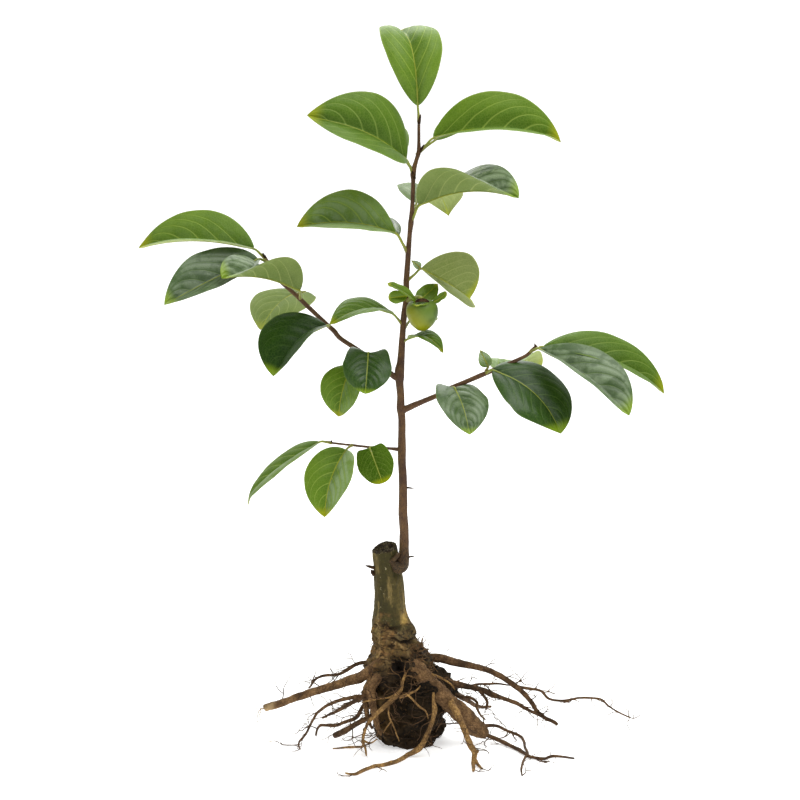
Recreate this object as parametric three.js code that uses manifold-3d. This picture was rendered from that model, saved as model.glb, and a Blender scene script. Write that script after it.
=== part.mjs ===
// A young grafted persimmon tree standing on the ball of earth that its bare roots hold.
// Millimetres, +Z up, origin in the flat underside of the ball of earth, viewer on the -Y side.
import * as THREE from 'three';
import { mergeVertices } from 'three/addons/utils/BufferGeometryUtils.js';
import Module from 'manifold-3d';

const wasm = await Module();
wasm.setup();

// Driving dimensions
const GAP = 0.3; // air between two pieces that touch on the real tree
const BLADE_THICKNESS = 1.2; // stout enough for a blade of 120 mm
const BLADE_STEPS = 9; // quads from the foot of a blade to its tip
const BLADE_COLUMNS = 2; // quads from margin to margin, one for each half
const BLADE_END = 0.7; // half width where a blade starts and ends
const BLADE_WIDEST = 0.45; // place of the greatest width, from foot to tip
const FOOT_ROUNDING = 0.75; // a half rounds the foot of the outline, one makes it a wedge
const TIP_ROUNDING = 0.9; // the same for the tip
const MARGIN_CURL = 18; // degrees by which each half is bowed between midrib and margin
const MARGIN_DROOP = 5; // degrees by which the margins open out of the fold
const STALK_RADIUS = 1.3;
const STALK_REACH = 0.14; // share of the blade that the stalk runs on under
const STALK_DEPTH = 0.4; // how far below the midrib it runs
const STALK_SIDES = 5;
const LIMB_SIDES = 8;
const ROOT_SIDES = 6;
const STUMP_SIDES = 16;
const STUMP_CUT_TILT = 25; // degrees, the old saw cut falls to the left
const STUMP_CUT_HIGH = [-6, 0, 186]; // the high edge of that cut
const BALL_CENTRE = [7, 1]; // axis of the ball of earth in plan
const BALL_SIDES = 26;
const FRUIT_RADIUS = 13.8;
const FRUIT_HEIGHT = 28;
const FRUIT_TOP = [17, -18, 411]; // where the fruit hangs from its calyx
const FRUIT_SIDES = 14;
const LOBE_STEPS = 5; // quads from the foot of a calyx lobe to its tip

// Limbs: x, y, z and radius, from the foot to the tip
const ROOTSTOCK = [
  [-2, 0, 66, 31],
  [-2, 0, 75, 29.5],
  [-3, 0, 85, 25.5],
  [-6, 0, 95, 21],
  [-10, 0, 113, 16.8],
  [-12, 0, 132, 13.6],
  [-14, 0, 151, 13],
  [-15, 0, 170, 12.6],
  [-16, 0, 196, 12.2],
];
const STEM = [
  [-4, -7, 163, 5.8],
  [0, -4, 172, 5],
  [1, 0, 190, 4.5],
  [1, 0, 200, 4.3],
  [0, 0, 225, 4.1],
  [0, 0, 244, 4],
  [-1, 0, 281, 3.7],
  [-2, 0, 317, 3.6],
  [-3, 0, 338, 3.8],
  [-2, 0, 350, 3.8],
];
const LEADER = [
  [-2, 0, 350, 3.7],
  [0, 0, 383, 3.4],
  [3, 0, 415, 3.1],
  [4, 0, 440, 3],
  [6, 0, 468, 2.7],
  [8.5, 0, 497, 2.4],
  [9, 0, 514, 2.3],
  [11, 0, 533, 2.2],
  [14, 0, 549, 2],
  [14, 0, 571, 1.7],
];
const LEFT_BOUGH = [
  [-3, 0, 337, 2.6],
  [-13, 0, 343, 2.5],
  [-41, 2, 363, 2.3],
  [-56, 2, 373, 2.2],
  [-62, 2, 380, 2.1],
];
const LEFT_TWIG = [
  [-62, 2, 380, 2],
  [-70, 4, 387, 2],
  [-92, 5, 408, 1.8],
  [-113, 7, 427, 1.5],
  [-124, 8, 446, 1.2],
];
const RIGHT_BOUGH = [
  [0, 0, 308, 2.7],
  [17, -2, 316, 2.5],
  [31, -2, 322, 2.4],
  [44, -2, 329, 2.3],
  [58, -2, 335, 2.2],
  [68, -1, 339, 2.1],
];
const RIGHT_TWIG = [
  [68, -1, 339, 2],
  [73, 0, 341, 2],
  [89, 0, 348, 1.8],
  [109, 0, 357, 1.6],
  [118, 0, 365, 1.2],
];
const LOW_BOUGH = [
  [-3, 0, 272, 1.5],
  [-13, 0, 273, 1.4],
  [-28, 0, 274, 1.3],
  [-38, 0, 275, 1.2],
];
const LOW_TWIG = [
  [-38, 0, 275, 1.2],
  [-52, 0, 276.5, 1.1],
  [-66, 0, 278, 1],
];

// Leaves: the stalk leaves the twig at node, the blade runs from base to tip, and face is the way
// its upper side looks. arch lifts the midrib, fold closes the two halves, curl bows each half,
// twist turns the blade from base to tip, sweep bends it sideways, widest is the place of its
// greatest width, and foot and point round the two ends of its outline.
const TOP_LEAVES = [
  { node: [14, 0, 566], base: [13, -2, 578], tip: [-4, 56, 646], face: [0.22, -1, 0.2],
    width: 54, arch: 29, fold: 34, twist: 16, widest: 0.58, point: 0.6, curl: 34 },
  { node: [9, 0, 520], base: [3, -3, 534], tip: [-84, -35, 574], face: [0.2, -0.65, 0.65],
    width: 74, arch: 12, fold: 40, twist: -10, widest: 0.42 },
  { node: [14, 0, 541], base: [27, 0, 553], tip: [142, 10, 550], face: [0, -0.55, 0.8],
    width: 68, arch: 13, fold: 46, widest: 0.48, curl: 5 },
  { node: [9, 0, 524], base: [-2, 12, 536], tip: [-40, 90, 566], face: [-0.1, -0.15, 1],
    width: 44, arch: 6, fold: 16 },
  { node: [12, 0, 538], base: [28, 8, 550], tip: [88, 92, 574], face: [0.1, -0.1, 1],
    width: 34, arch: 5, fold: 16 },
];
const UPPER_LEAVES = [
  { node: [7, 0, 477], base: [14, -4, 493], tip: [101, -45, 504], face: [0, 0.05, 1],
    width: 64, arch: 10, fold: 55, twist: 70, foot: 0.6, point: 0.65 },
  { node: [8, 0, 487], base: [21, 15, 498], tip: [42, 75, 475], face: [0.1, 0.5, 0.8],
    width: 46, arch: 14, fold: 10, point: 1.25 },
  { node: [8, 0, 483], base: [12, 12, 494], tip: [16, 95, 500], face: [0, -0.1, 1],
    width: 40, arch: 8, fold: 18 },
  { node: [4, 0, 451], base: [-6, -3, 468], tip: [-94, -20, 476], face: [0, -0.6, 0.8],
    width: 60, arch: 10, fold: 41, foot: 0.95, curl: 8 },
  { node: [5, 0, 447], base: [-4, 10, 464], tip: [-38, 85, 476], face: [0, -0.1, 1],
    width: 34, arch: 5, fold: 14 },
];
const MIDDLE_LEAVES = [
  { node: [3, 0, 425], base: [16, -4, 437], tip: [60, -45, 411], face: [0.75, 0.5, 0.5],
    width: 63, arch: 6, fold: 30, sweep: 4, widest: 0.74, foot: 1.2, point: 0.56 },
  { node: [0, 0, 385], base: [-9, -3, 396], tip: [-65, -35, 391], face: [0, -0.25, 0.95],
    width: 38, arch: 10, fold: 27 },
  { node: [-1, 0, 369], base: [7, -3, 373], tip: [35, -30, 366], face: [0.3, -0.4, 0.85],
    width: 24, arch: 7, fold: 25, widest: 0.5 },
  { node: [1, 0, 382], base: [7, 10, 389], tip: [30, 58, 381], face: [0, 0, 1],
    width: 22, arch: 4, fold: 10 },
];
const LEFT_LEAVES = [
  { node: [-123, 8, 444], base: [-133, 8, 453], tip: [-238, 20, 452], face: [0, -0.42, 0.9],
    width: 60, arch: 9, fold: 42, curl: 8 },
  { node: [-121, 8, 441], base: [-129, 0, 445], tip: [-210, -45, 410], face: [0.1, -0.5, 0.85],
    width: 54, arch: 3, fold: 38, widest: 0.5, foot: 0.6, curl: 8 },
  { node: [-92, 5, 408], base: [-91, -6, 421], tip: [-159, -50, 434], face: [0.1, 0.2, 0.95],
    width: 48, arch: 7, fold: 50, twist: -66, foot: 0.6, point: 0.55 },
  { node: [-96, 5, 412], base: [-91, 12, 410], tip: [-131, 60, 370], face: [-0.3, 0.7, 0.6],
    width: 56, arch: 10, fold: 12 },
  { node: [-66, 3, 384], base: [-68, -6, 386], tip: [-113, -30, 343], face: [-0.75, -0.6, 0.5],
    width: 72, arch: 8, fold: 42, sweep: 3, widest: 0.52 },
];
const LEFT_FRONT_LEAVES = [
  { node: [-28, 1, 354], base: [-30, -8, 362], tip: [-33, -42, 330], face: [0.05, -0.95, 0.32],
    width: 44, arch: 6, fold: 12, widest: 0.38, foot: 0.42, point: 0.7 },
];
const LEFT_UNDER_LEAVES = [
  { node: [-37, 2, 361], base: [-46, 8, 348], tip: [-58, 0, 302], face: [-0.35, -0.85, 0.4],
    width: 40, arch: 6, fold: 20 },
];
const RIGHT_LEAVES = [
  { node: [73, 0, 341], base: [84, 8, 344], tip: [117, 70, 345], face: [0.3, -0.15, 1],
    width: 46, arch: 5, fold: 18, foot: 0.5, point: 0.7 },
  { node: [73, 0, 341], base: [80, -8, 346], tip: [140, -40, 294], face: [0.5, -0.7, 0.5],
    width: 66, arch: 6, fold: 16, sweep: -9, widest: 0.52, foot: 0.6 },
  { node: [114, 0, 361], base: [121, -4, 365], tip: [200, -45, 311], face: [0.42, -0.5, 0.7],
    width: 60, arch: 7, fold: 40, widest: 0.55, foot: 0.9, point: 0.75, curl: 8 },
  { node: [117, 0, 363], base: [126, 6, 365], tip: [237, 20, 319], face: [0.25, -0.35, 0.85],
    width: 57, arch: 13, fold: 36, widest: 0.55, point: 0.8 },
];
const RIGHT_FRONT_LEAVES = [
  { node: [42, -2, 328], base: [46, -8, 330], tip: [59, -45, 294], face: [0.33, -0.8, 0.5],
    width: 49, arch: 7, fold: 22, widest: 0.4, foot: 0.5 },
];
const LOW_LEAVES = [
  { node: [-64, 0, 278], base: [-75, 0, 279], tip: [-145, 10, 224], face: [-0.6, -0.12, 0.75],
    width: 46, arch: 5, fold: 20, widest: 0.5 },
  { node: [-46, 0, 276], base: [-51, -6, 273], tip: [-70, -35, 217], face: [-0.35, -0.85, 0.3],
    width: 50, arch: 6, fold: 26, sweep: 3, foot: 0.55 },
];
const LOW_FRONT_LEAVES = [
  { node: [-24, 0, 274], base: [-29, -7, 275], tip: [-16, -40, 248], face: [-0.1, -0.85, 0.5],
    width: 35, arch: 6, fold: 8, widest: 0.42, foot: 0.45, point: 0.55 },
];
const CALYX_LOBES = [
  { base: [12, -21, 409], tip: [-12, -27, 421], face: [0.3, -0.3, 0.9], width: 22, arch: 4, fold: 32 },
  { base: [18, -14, 410], tip: [27, 4, 424], face: [0, -1, 0.7], width: 26, arch: -3, fold: 15 },
  { base: [21, -19, 409], tip: [38, -24, 415], face: [-0.3, -0.2, 1], width: 18, arch: -2, fold: 25 },
  { base: [16, -22, 410], tip: [11, -38, 411], face: [0, 0.2, 1], width: 16, arch: -1, fold: 10 },
];
const FRUIT_STALK = [
  [3, 0, 407, 2],
  [9, -9, 411, 1.9],
  [17, -18, 409, 2.4],
];
// Shares of the fruit's radius and height, from its point to its calyx
const FRUIT_PROFILE = [
  [0, 0],
  [0.3, 0.03],
  [0.68, 0.2],
  [0.92, 0.42],
  [1, 0.62],
  [0.93, 0.82],
  [0.66, 0.96],
  [0, 1],
];

// Roots: x, y, z and radius, from the crown of the roots to their ends; rootlets are fused on
const ROOTS = {
  root_right_thick: [
    [
      [10, -20, 74, 7.4],
      [20, -24, 65, 8.2],
      [32, -26, 53, 8.4],
      [44, -25, 41, 8.3],
      [56, -20, 29, 8.4],
      [66, -12, 16, 8.2],
      [74, -9, 9, 6.4],
    ],
    [
      [72, -10, 11, 2.3],
      [78, -10, 7, 2],
      [86, -12, 4.5, 1.8],
      [103, -34, 2.2, 1.7],
      [115, -59, 1.8, 1.4],
      [126, -63, 1.6, 1.3],
      [136, -54, 1.5, 1.2],
      [154, -60, 1.4, 1.1],
    ],
    [
      [72, -8, 14, 1.9],
      [86, 2, 12, 1.6],
      [96, 8, 6.5, 1.4],
      [109, 5, 1.8, 1.3],
      [113, -48, 1.6, 1.2],
      [105, -108, 1.4, 1],
    ],
  ],
  root_left_thick: [
    [
      [-20, -18, 80, 4.4],
      [-29, -17, 71, 5.2],
      [-39, -14, 63, 4.9],
      [-48, -12, 60, 4.4],
      [-66, -12, 54, 4],
      [-85, -11, 48, 3.6],
      [-103, -10, 41, 3.5],
      [-120, -9, 35.5, 3.6],
      [-126, -8, 33, 3.4],
    ],
  ],
  root_right_high: [
    [
      [16, 6, 71, 4.6],
      [29, 6, 76, 4.1],
      [44, 6, 73, 3.9],
      [64, 8, 68, 3],
      [77, 8, 65, 2.9],
      [90, 7, 59, 2.7],
      [108, 4, 46, 2.4],
      [117, 2, 36, 2.2],
      [127, -2, 23.5, 1.8],
      [141, -8, 16.5, 1.5],
    ],
    [
      [98, 6, 54, 1.7],
      [108, 8, 48, 1.5],
      [127, 20, 41, 1.3],
      [149, 30, 29, 1.2],
      [166, 38, 29, 1.1],
      [184, 44, 26, 1.1],
      [202, 42, 14, 1],
      [212, 40, 9, 1],
    ],
  ],
  root_back_right: [
    [
      [8, 16, 60, 5.5],
      [13, 50, 50, 5],
      [20, 84, 33, 4],
      [26, 112, 15, 3],
      [30, 134, 3, 2.2],
    ],
  ],
  root_back_left: [
    [
      [-10, 16, 58, 5],
      [-18, 50, 46, 4.2],
      [-27, 84, 27, 3.2],
      [-31, 112, 10, 2.4],
      [-35, 138, 2.2, 1.6],
    ],
  ],
  root_front_middle: [
    [
      [26, -27, 60, 1.5],
      [27, -40, 51, 1.8],
      [28, -46, 43, 2.4],
      [26, -49, 34, 2.1],
      [17, -54, 12, 2.5],
      [4, -55, 3, 2.3],
      [-15, -81, 2.2, 2],
      [-26, -87, 2, 1.8],
      [-42, -108, 1.8, 1.4],
      [-51, -105, 1.6, 1.1],
    ],
  ],
  root_front_left: [
    [
      [6, -20, 76, 1.6],
      [0, -34, 66, 1.7],
      [-4, -43, 57, 2.1],
      [-12, -48, 49.5, 2.3],
      [-22, -52, 42, 2],
      [-32, -53, 32, 1.7],
      [-36, -51, 16, 1.5],
      [-33, -56, 1.8, 1.2],
    ],
    [
      [-35, -50, 14, 1.6],
      [-36, -36, 6, 1.4],
      [-38, -29, 2.2, 1.2],
      [-49, -27, 1.8, 1.1],
      [-64, -29, 1.5, 1],
    ],
  ],
  root_front_right: [
    [
      [41, -28, 45, 3.4],
      [47, -42, 40, 3.3],
      [51, -51, 35, 3],
      [57, -66, 22, 2.6],
      [64, -76, 11, 2.5],
      [63, -80, 3, 2.3],
      [62, -102, 2, 1.6],
    ],
    [
      [63, -74, 6, 2.2],
      [67, -84, 2, 1.7],
      [70, -95, 1.8, 1.2],
    ],
  ],
  root_right_middle: [
    [
      [25, -2, 60, 3.4],
      [38, -2, 56.6, 3.2],
      [64, 1, 50, 2.7],
      [81, 2, 43.5, 2.5],
      [98, 1, 37.7, 2],
      [116, -2, 28.5, 1.5],
      [126, -4, 24, 1.1],
    ],
  ],
  root_left_high: [
    [
      [-23, 4, 72, 2.4],
      [-35, 10, 71, 2],
      [-44, 14, 67, 1.8],
      [-60, 24, 56, 1.5],
      [-75, 32, 52, 1.3],
      [-82, 38, 46, 1.2],
      [-87, 44, 37, 1],
    ],
  ],
  root_left_middle: [
    [
      [-25, -20, 49.5, 2.4],
      [-43, -32, 50, 1.9],
      [-66, -31, 43, 1.5],
      [-77, -27, 34.5, 1.3],
      [-88, -18, 13, 1.2],
      [-95, -17, 2.4, 1.1],
      [-93, -33, 1.5, 1],
    ],
  ],
  root_left_low: [
    [
      [-21, -20, 31.5, 2.5],
      [-31, -24, 29, 2.5],
      [-44, -28, 22.5, 2.5],
      [-53, -24, 15.7, 2.6],
      [-62, -14, 9, 2.6],
    ],
  ],
  root_left_near: [
    [
      [-25, -16, 45.5, 2.2],
      [-35, -20, 40, 1.9],
      [-42, -24, 29, 1.9],
      [-62, -18, 19, 1.4],
      [-76, -10, 16, 1.2],
      [-80, 0, 6, 1.1],
      [-80, 14, 1.6, 1],
    ],
  ],
  root_back_outer_right: [
    [
      [24, 10, 50, 3.4],
      [44, 34, 38, 3],
      [60, 60, 21, 2.4],
      [72, 84, 7, 1.8],
      [84, 104, 2, 1.3],
    ],
  ],
  root_back_outer_left: [
    [
      [-20, 10, 42, 3],
      [-42, 27, 30, 2.4],
      [-60, 48, 15, 1.8],
      [-76, 66, 2, 1.2],
    ],
  ],
};

// The ball of earth, as radius and height from its underside to its top
const BALL_PROFILE = [
  [0, 0],
  [28, 0],
  [31, 4],
  [34, 14],
  [38, 28],
  [41, 42],
  [40, 54],
  [34, 62],
  [27, 65.7],
  [0, 65.7],
];

// Finishes
const finish = (color, roughness) => new THREE.MeshStandardMaterial({ color, roughness, metalness: 0 });
const oldBark = finish(0x5a4a33, 0.9);
const youngBark = finish(0x59402f, 0.75);
const leafGreen = finish(0x3f6b26, 0.5);
const rootBark = finish(0x6b4a2a, 0.9);
const darkEarth = finish(0x2a1c12, 1);

const group = new THREE.Group();
const placed = [];

// Turns a closed geometry into a solid, once its seams are merged
function solid(geometry) {
  geometry.deleteAttribute('normal');
  geometry.deleteAttribute('uv');
  const merged = mergeVertices(geometry, 1e-4);
  const vertProperties = new Float32Array(merged.attributes.position.array);
  const triVerts = new Uint32Array(merged.index.array);
  return new wasm.Manifold(new wasm.Mesh({ numProp: 3, vertProperties, triVerts }));
}

function fuse(solids) {
  return solids.reduce((sum, piece) => sum.add(piece));
}

// The largest body of a solid, without the scraps that a cut leaves
function mainBody(whole) {
  const bodies = whole.decompose();
  return bodies.reduce((best, body) => (body.volume() > best.volume() ? body : best));
}

// A round tapering limb through its points, closed at both ends. lobes(angle, share) may swell it.
function limb(path, sides, grow = 0, lobes = () => 1) {
  const curve = new THREE.CatmullRomCurve3(path.map(([x, y, z]) => new THREE.Vector3(x, y, z)));
  const spans = path.length - 1;
  const steps = spans * 2;
  const rings = [];
  let side = new THREE.Vector3(0.3, 1, 0.2);
  for (let i = 0; i <= steps; i += 1) {
    const along = curve.getTangent(i / steps).normalize();
    side = side.clone().addScaledVector(along, -side.dot(along)).normalize();
    const place = (i / steps) * spans;
    const before = Math.min(Math.floor(place), spans - 1);
    const radius = THREE.MathUtils.lerp(path[before][3], path[before + 1][3], place - before);
    const centre = curve.getPoint(i / steps);
    rings.push({ centre, side, across: along.clone().cross(side), radius: radius + grow });
  }
  const geometry = new THREE.CylinderGeometry(1, 1, 1, sides, steps);
  const position = geometry.attributes.position;
  const vertex = new THREE.Vector3();
  for (let i = 0; i < position.count; i += 1) {
    vertex.fromBufferAttribute(position, i);
    const share = 0.5 - vertex.y;
    const ring = rings[Math.round(share * steps)];
    const reach = ring.radius * lobes(Math.atan2(vertex.z, vertex.x), share);
    const point = ring.centre.clone();
    point.addScaledVector(ring.side, vertex.x * reach);
    point.addScaledVector(ring.across, vertex.z * reach);
    position.setXYZ(i, point.x, point.y, point.z);
  }
  return solid(geometry);
}

// Half width of a blade, as a share of its greatest, at a place between its foot and its tip
function halfWidth(place, leaf) {
  const widest = leaf.widest ?? BLADE_WIDEST;
  if (place < widest) {
    return (1 - ((widest - place) / widest) ** 2) ** (leaf.foot ?? FOOT_ROUNDING);
  }
  return (1 - ((place - widest) / (1 - widest)) ** 2) ** (leaf.point ?? TIP_ROUNDING);
}

// The line of a blade's midrib and, at each place, the directions along, up and across it
function midrib(leaf) {
  const foot = new THREE.Vector3(...leaf.base);
  const tip = new THREE.Vector3(...leaf.tip);
  const chord = tip.clone().sub(foot).normalize();
  const up = new THREE.Vector3(...leaf.face);
  up.addScaledVector(chord, -up.dot(chord)).normalize();
  const middle = foot.clone().add(tip).multiplyScalar(0.5);
  middle.addScaledVector(up, 2 * (leaf.arch ?? 0));
  middle.addScaledVector(chord.clone().cross(up), 2 * (leaf.sweep ?? 0));
  const curve = new THREE.QuadraticBezierCurve3(foot, middle, tip);
  return (place) => {
    const along = curve.getTangent(place);
    const raised = up.clone().addScaledVector(along, -up.dot(along)).normalize();
    raised.applyAxisAngle(along, THREE.MathUtils.degToRad((leaf.twist ?? 0) * (place - 0.5)));
    return { point: curve.getPoint(place), up: raised, across: raised.clone().cross(along) };
  };
}

// A blade: a thin box bent to the leaf's outline, fold, arch and twist
function blade(leaf, steps = BLADE_STEPS) {
  const frame = midrib(leaf);
  const fold = THREE.MathUtils.degToRad(leaf.fold);
  const droop = THREE.MathUtils.degToRad(MARGIN_DROOP);
  const curl = THREE.MathUtils.degToRad(leaf.curl ?? MARGIN_CURL);
  const geometry = new THREE.BoxGeometry(1, 1, 1, steps, BLADE_COLUMNS, 1);
  const position = geometry.attributes.position;
  const vertex = new THREE.Vector3();
  for (let i = 0; i < position.count; i += 1) {
    vertex.fromBufferAttribute(position, i);
    const even = vertex.x + 0.5;
    const place = (even + 0.5 - 0.5 * Math.cos(Math.PI * even)) / 2;
    const { point, up, across } = frame(place);
    const half = Math.max((leaf.width / 2) * halfWidth(place, leaf), BLADE_END);
    const offset = 2 * vertex.y;
    const spread = Math.abs(offset);
    const tilt = fold - droop * spread + curl * (0.5 - spread);
    const lift = spread * half * Math.sin(tilt) + vertex.z * BLADE_THICKNESS * Math.cos(tilt);
    const slope = -Math.sign(offset) * vertex.z * BLADE_THICKNESS * Math.sin(tilt);
    point.addScaledVector(across, offset * half * Math.cos(tilt) + slope);
    point.addScaledVector(up, lift);
    position.setXYZ(i, point.x, point.y, point.z);
  }
  return solid(geometry);
}

// A blade with its stalk, which runs on a little way under the blade as the foot of its midrib
function leafOnStalk(leaf) {
  const { point, up } = midrib(leaf)(STALK_REACH);
  point.addScaledVector(up, -STALK_DEPTH);
  const stalk = [
    [...leaf.node, STALK_RADIUS],
    [...leaf.base, STALK_RADIUS * 0.9],
    [point.x, point.y, point.z, STALK_RADIUS * 0.6],
  ];
  return fuse([blade(leaf), limb(stalk, STALK_SIDES)]);
}

// A mass of foliage: one twig with its leaves fused on
function mass(twig, leaves, extras = []) {
  const pieces = leaves.map(leafOnStalk);
  if (twig) {
    pieces.unshift(limb(twig, LIMB_SIDES));
  }
  return fuse([...pieces, ...extras]);
}

// The same line, its foot moved on by the gap that keeps it clear of the limb below it
function clearFoot(line) {
  const start = new THREE.Vector3(...line[0]);
  const next = new THREE.Vector3(...line[1]);
  const step = next.sub(start).normalize().multiplyScalar(GAP);
  start.add(step);
  return [[start.x, start.y, start.z, line[0][3]], ...line.slice(1)];
}

// Adds a named sub-part, cut clear of the pieces that are already there
function place(name, shape, material, clearance = shape) {
  let body = shape;
  for (const other of placed) {
    body = body.subtract(other);
  }
  body = mainBody(body);
  placed.push(clearance);
  const mesh = body.getMesh();
  const geometry = new THREE.BufferGeometry();
  geometry.setAttribute('position', new THREE.BufferAttribute(new Float32Array(mesh.vertProperties), 3));
  geometry.setIndex(new THREE.BufferAttribute(new Uint32Array(mesh.triVerts), 1));
  geometry.computeVertexNormals();
  const node = new THREE.Mesh(geometry, material);
  node.name = name;
  group.add(node);
}

function placeLimb(name, path, sides, material, lobes) {
  place(name, limb(path, sides, 0, lobes), material, limb(path, sides, GAP, lobes));
}

function placeMass(name, twig, leaves, extras) {
  place(name, mass(twig, leaves, extras), leafGreen);
}

// The green fruit with its stalk and the four lobes of its calyx
function fruit() {
  const scaled = ([r, h]) => new THREE.Vector2(r * FRUIT_RADIUS, (h - 1) * FRUIT_HEIGHT);
  const berry = new THREE.LatheGeometry(FRUIT_PROFILE.map(scaled), FRUIT_SIDES);
  berry.rotateX(Math.PI / 2);
  berry.translate(...FRUIT_TOP);
  const lobes = CALYX_LOBES.map((lobe) => blade(lobe, LOBE_STEPS));
  return [solid(berry), limb(FRUIT_STALK, ROOT_SIDES), ...lobes];
}

// The old stump: root flare in five lobes below, a sloping saw cut on top
function rootstock(grow) {
  const flare = (angle, share) => 1 + 0.07 * Math.max(0, 1 - 3 * share) * Math.sin(5 * angle + 1);
  const body = limb(ROOTSTOCK, STUMP_SIDES, grow, flare);
  const saw = new THREE.BoxGeometry(90, 90, 40);
  saw.translate(0, 0, 20 + grow);
  saw.rotateY(-THREE.MathUtils.degToRad(STUMP_CUT_TILT));
  saw.translate(...STUMP_CUT_HIGH);
  return body.subtract(solid(saw));
}

// The ball of earth: a lumpy turned body with a flat underside
function earthBall() {
  const points = BALL_PROFILE.map(([r, h]) => new THREE.Vector2(r, h));
  const ball = new THREE.LatheGeometry(points, BALL_SIDES);
  ball.rotateX(Math.PI / 2);
  const position = ball.attributes.position;
  for (let i = 0; i < position.count; i += 1) {
    const [x, y, z] = [position.getX(i), position.getY(i), position.getZ(i)];
    const angle = Math.atan2(y, x);
    const lump = 1 + 0.05 * Math.sin(3 * angle + z * 0.09) + 0.035 * Math.sin(7 * angle - z * 0.16);
    position.setXYZ(i, x * lump + BALL_CENTRE[0], y * lump + BALL_CENTRE[1], z);
  }
  return solid(ball);
}

// Trunk: the stem stands in a notch in the side of the stump
placeLimb('stem', STEM, LIMB_SIDES, youngBark);
place('rootstock', rootstock(0), oldBark, rootstock(GAP));

// Boughs
placeLimb('bough_left', LEFT_BOUGH, LIMB_SIDES, youngBark);
placeLimb('bough_right', RIGHT_BOUGH, LIMB_SIDES, youngBark);
placeLimb('bough_lower_left', LOW_BOUGH, LIMB_SIDES, youngBark);

// Foliage: the leader's three masses stand end to end on the stem
placeMass('foliage_middle', clearFoot(LEADER.slice(0, 4)), MIDDLE_LEAVES, fruit());
placeMass('foliage_upper', clearFoot(LEADER.slice(3, 6)), UPPER_LEAVES);
placeMass('foliage_top', clearFoot(LEADER.slice(5)), TOP_LEAVES);
placeMass('foliage_left', clearFoot(LEFT_TWIG), LEFT_LEAVES);
placeMass('foliage_right', clearFoot(RIGHT_TWIG), RIGHT_LEAVES);
placeMass('foliage_lower_left', clearFoot(LOW_TWIG), LOW_LEAVES);
placeMass('leaf_left_front', null, LEFT_FRONT_LEAVES);
placeMass('leaf_left_under', null, LEFT_UNDER_LEAVES);
placeMass('leaf_right_front', null, RIGHT_FRONT_LEAVES);
placeMass('leaf_lower_left_front', null, LOW_FRONT_LEAVES);

// Roots, the thick ones first, and the earth between them
for (const [name, lines] of Object.entries(ROOTS)) {
  const shape = fuse(lines.map((line) => limb(line, ROOT_SIDES)));
  const clearance = fuse(lines.map((line) => limb(line, ROOT_SIDES, GAP)));
  place(name, shape, rootBark, clearance);
}
place('root_ball', earthBall(), darkEarth);

export default group;
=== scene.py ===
# %% [markdown]
# # A young grafted persimmon tree
# A thick old stump carries a thin young stem, and the stem carries three side boughs, some thirty
# large leaves and one green fruit. Bare roots spread from the stump round a ball of dark earth.
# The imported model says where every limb, leaf and root runs. This file gives each piece its finer
# shape and its finish. Lengths are metres, +Z is up, and the viewer stands on the -Y side.

# %% The shared frame
import math
import random

import bpy
import numpy as np
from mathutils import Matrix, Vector, noise


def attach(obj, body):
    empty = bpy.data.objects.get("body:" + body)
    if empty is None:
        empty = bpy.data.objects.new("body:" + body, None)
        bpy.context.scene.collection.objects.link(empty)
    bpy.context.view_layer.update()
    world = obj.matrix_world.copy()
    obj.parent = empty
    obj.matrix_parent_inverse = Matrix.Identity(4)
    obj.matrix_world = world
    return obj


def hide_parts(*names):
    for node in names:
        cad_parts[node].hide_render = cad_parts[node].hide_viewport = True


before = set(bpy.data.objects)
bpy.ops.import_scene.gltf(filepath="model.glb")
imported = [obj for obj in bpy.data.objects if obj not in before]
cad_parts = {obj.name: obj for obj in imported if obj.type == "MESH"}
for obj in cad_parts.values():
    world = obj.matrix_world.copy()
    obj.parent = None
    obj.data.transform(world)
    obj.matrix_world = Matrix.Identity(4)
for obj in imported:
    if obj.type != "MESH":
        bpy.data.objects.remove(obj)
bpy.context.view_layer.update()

MM = 0.001
print("CAD nodes to dress:", len(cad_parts))

# %% [markdown]
# ## Rules written as sums
# Much of this tree follows rules: a blade is an outline bent along its midrib, and veins are a
# count across it. Such a rule could be drawn by hand, node by node. Here a small class stands for
# a value that changes from place to place, so that a rule is written as a sum in Python, and each
# plus or times becomes a node. The same sum then works in a geometry tree and in a material.


# %% Nodes from sums
def feed(tree, socket, value):
    """Links a value that another node makes, or types in a plain one."""
    value = getattr(value, "socket", value)
    if isinstance(value, bpy.types.NodeSocket):
        tree.links.new(value, socket)
    elif value is not None:
        socket.default_value = value


def add(tree, kind, values=(), **fields):
    """Adds a node, sets its fields, and feeds its inputs in order or by name."""
    node = tree.nodes.new(kind)
    for field, value in fields.items():
        setattr(node, field, value)
    pairs = values.items() if isinstance(values, dict) else enumerate(values)
    for key, value in pairs:
        feed(tree, node.inputs[key], value)
    return node


def made(tree, kind, values=(), **fields):
    """Adds a node and gives back what its first output makes."""
    return add(tree, kind, values, **fields).outputs[0]


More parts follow.
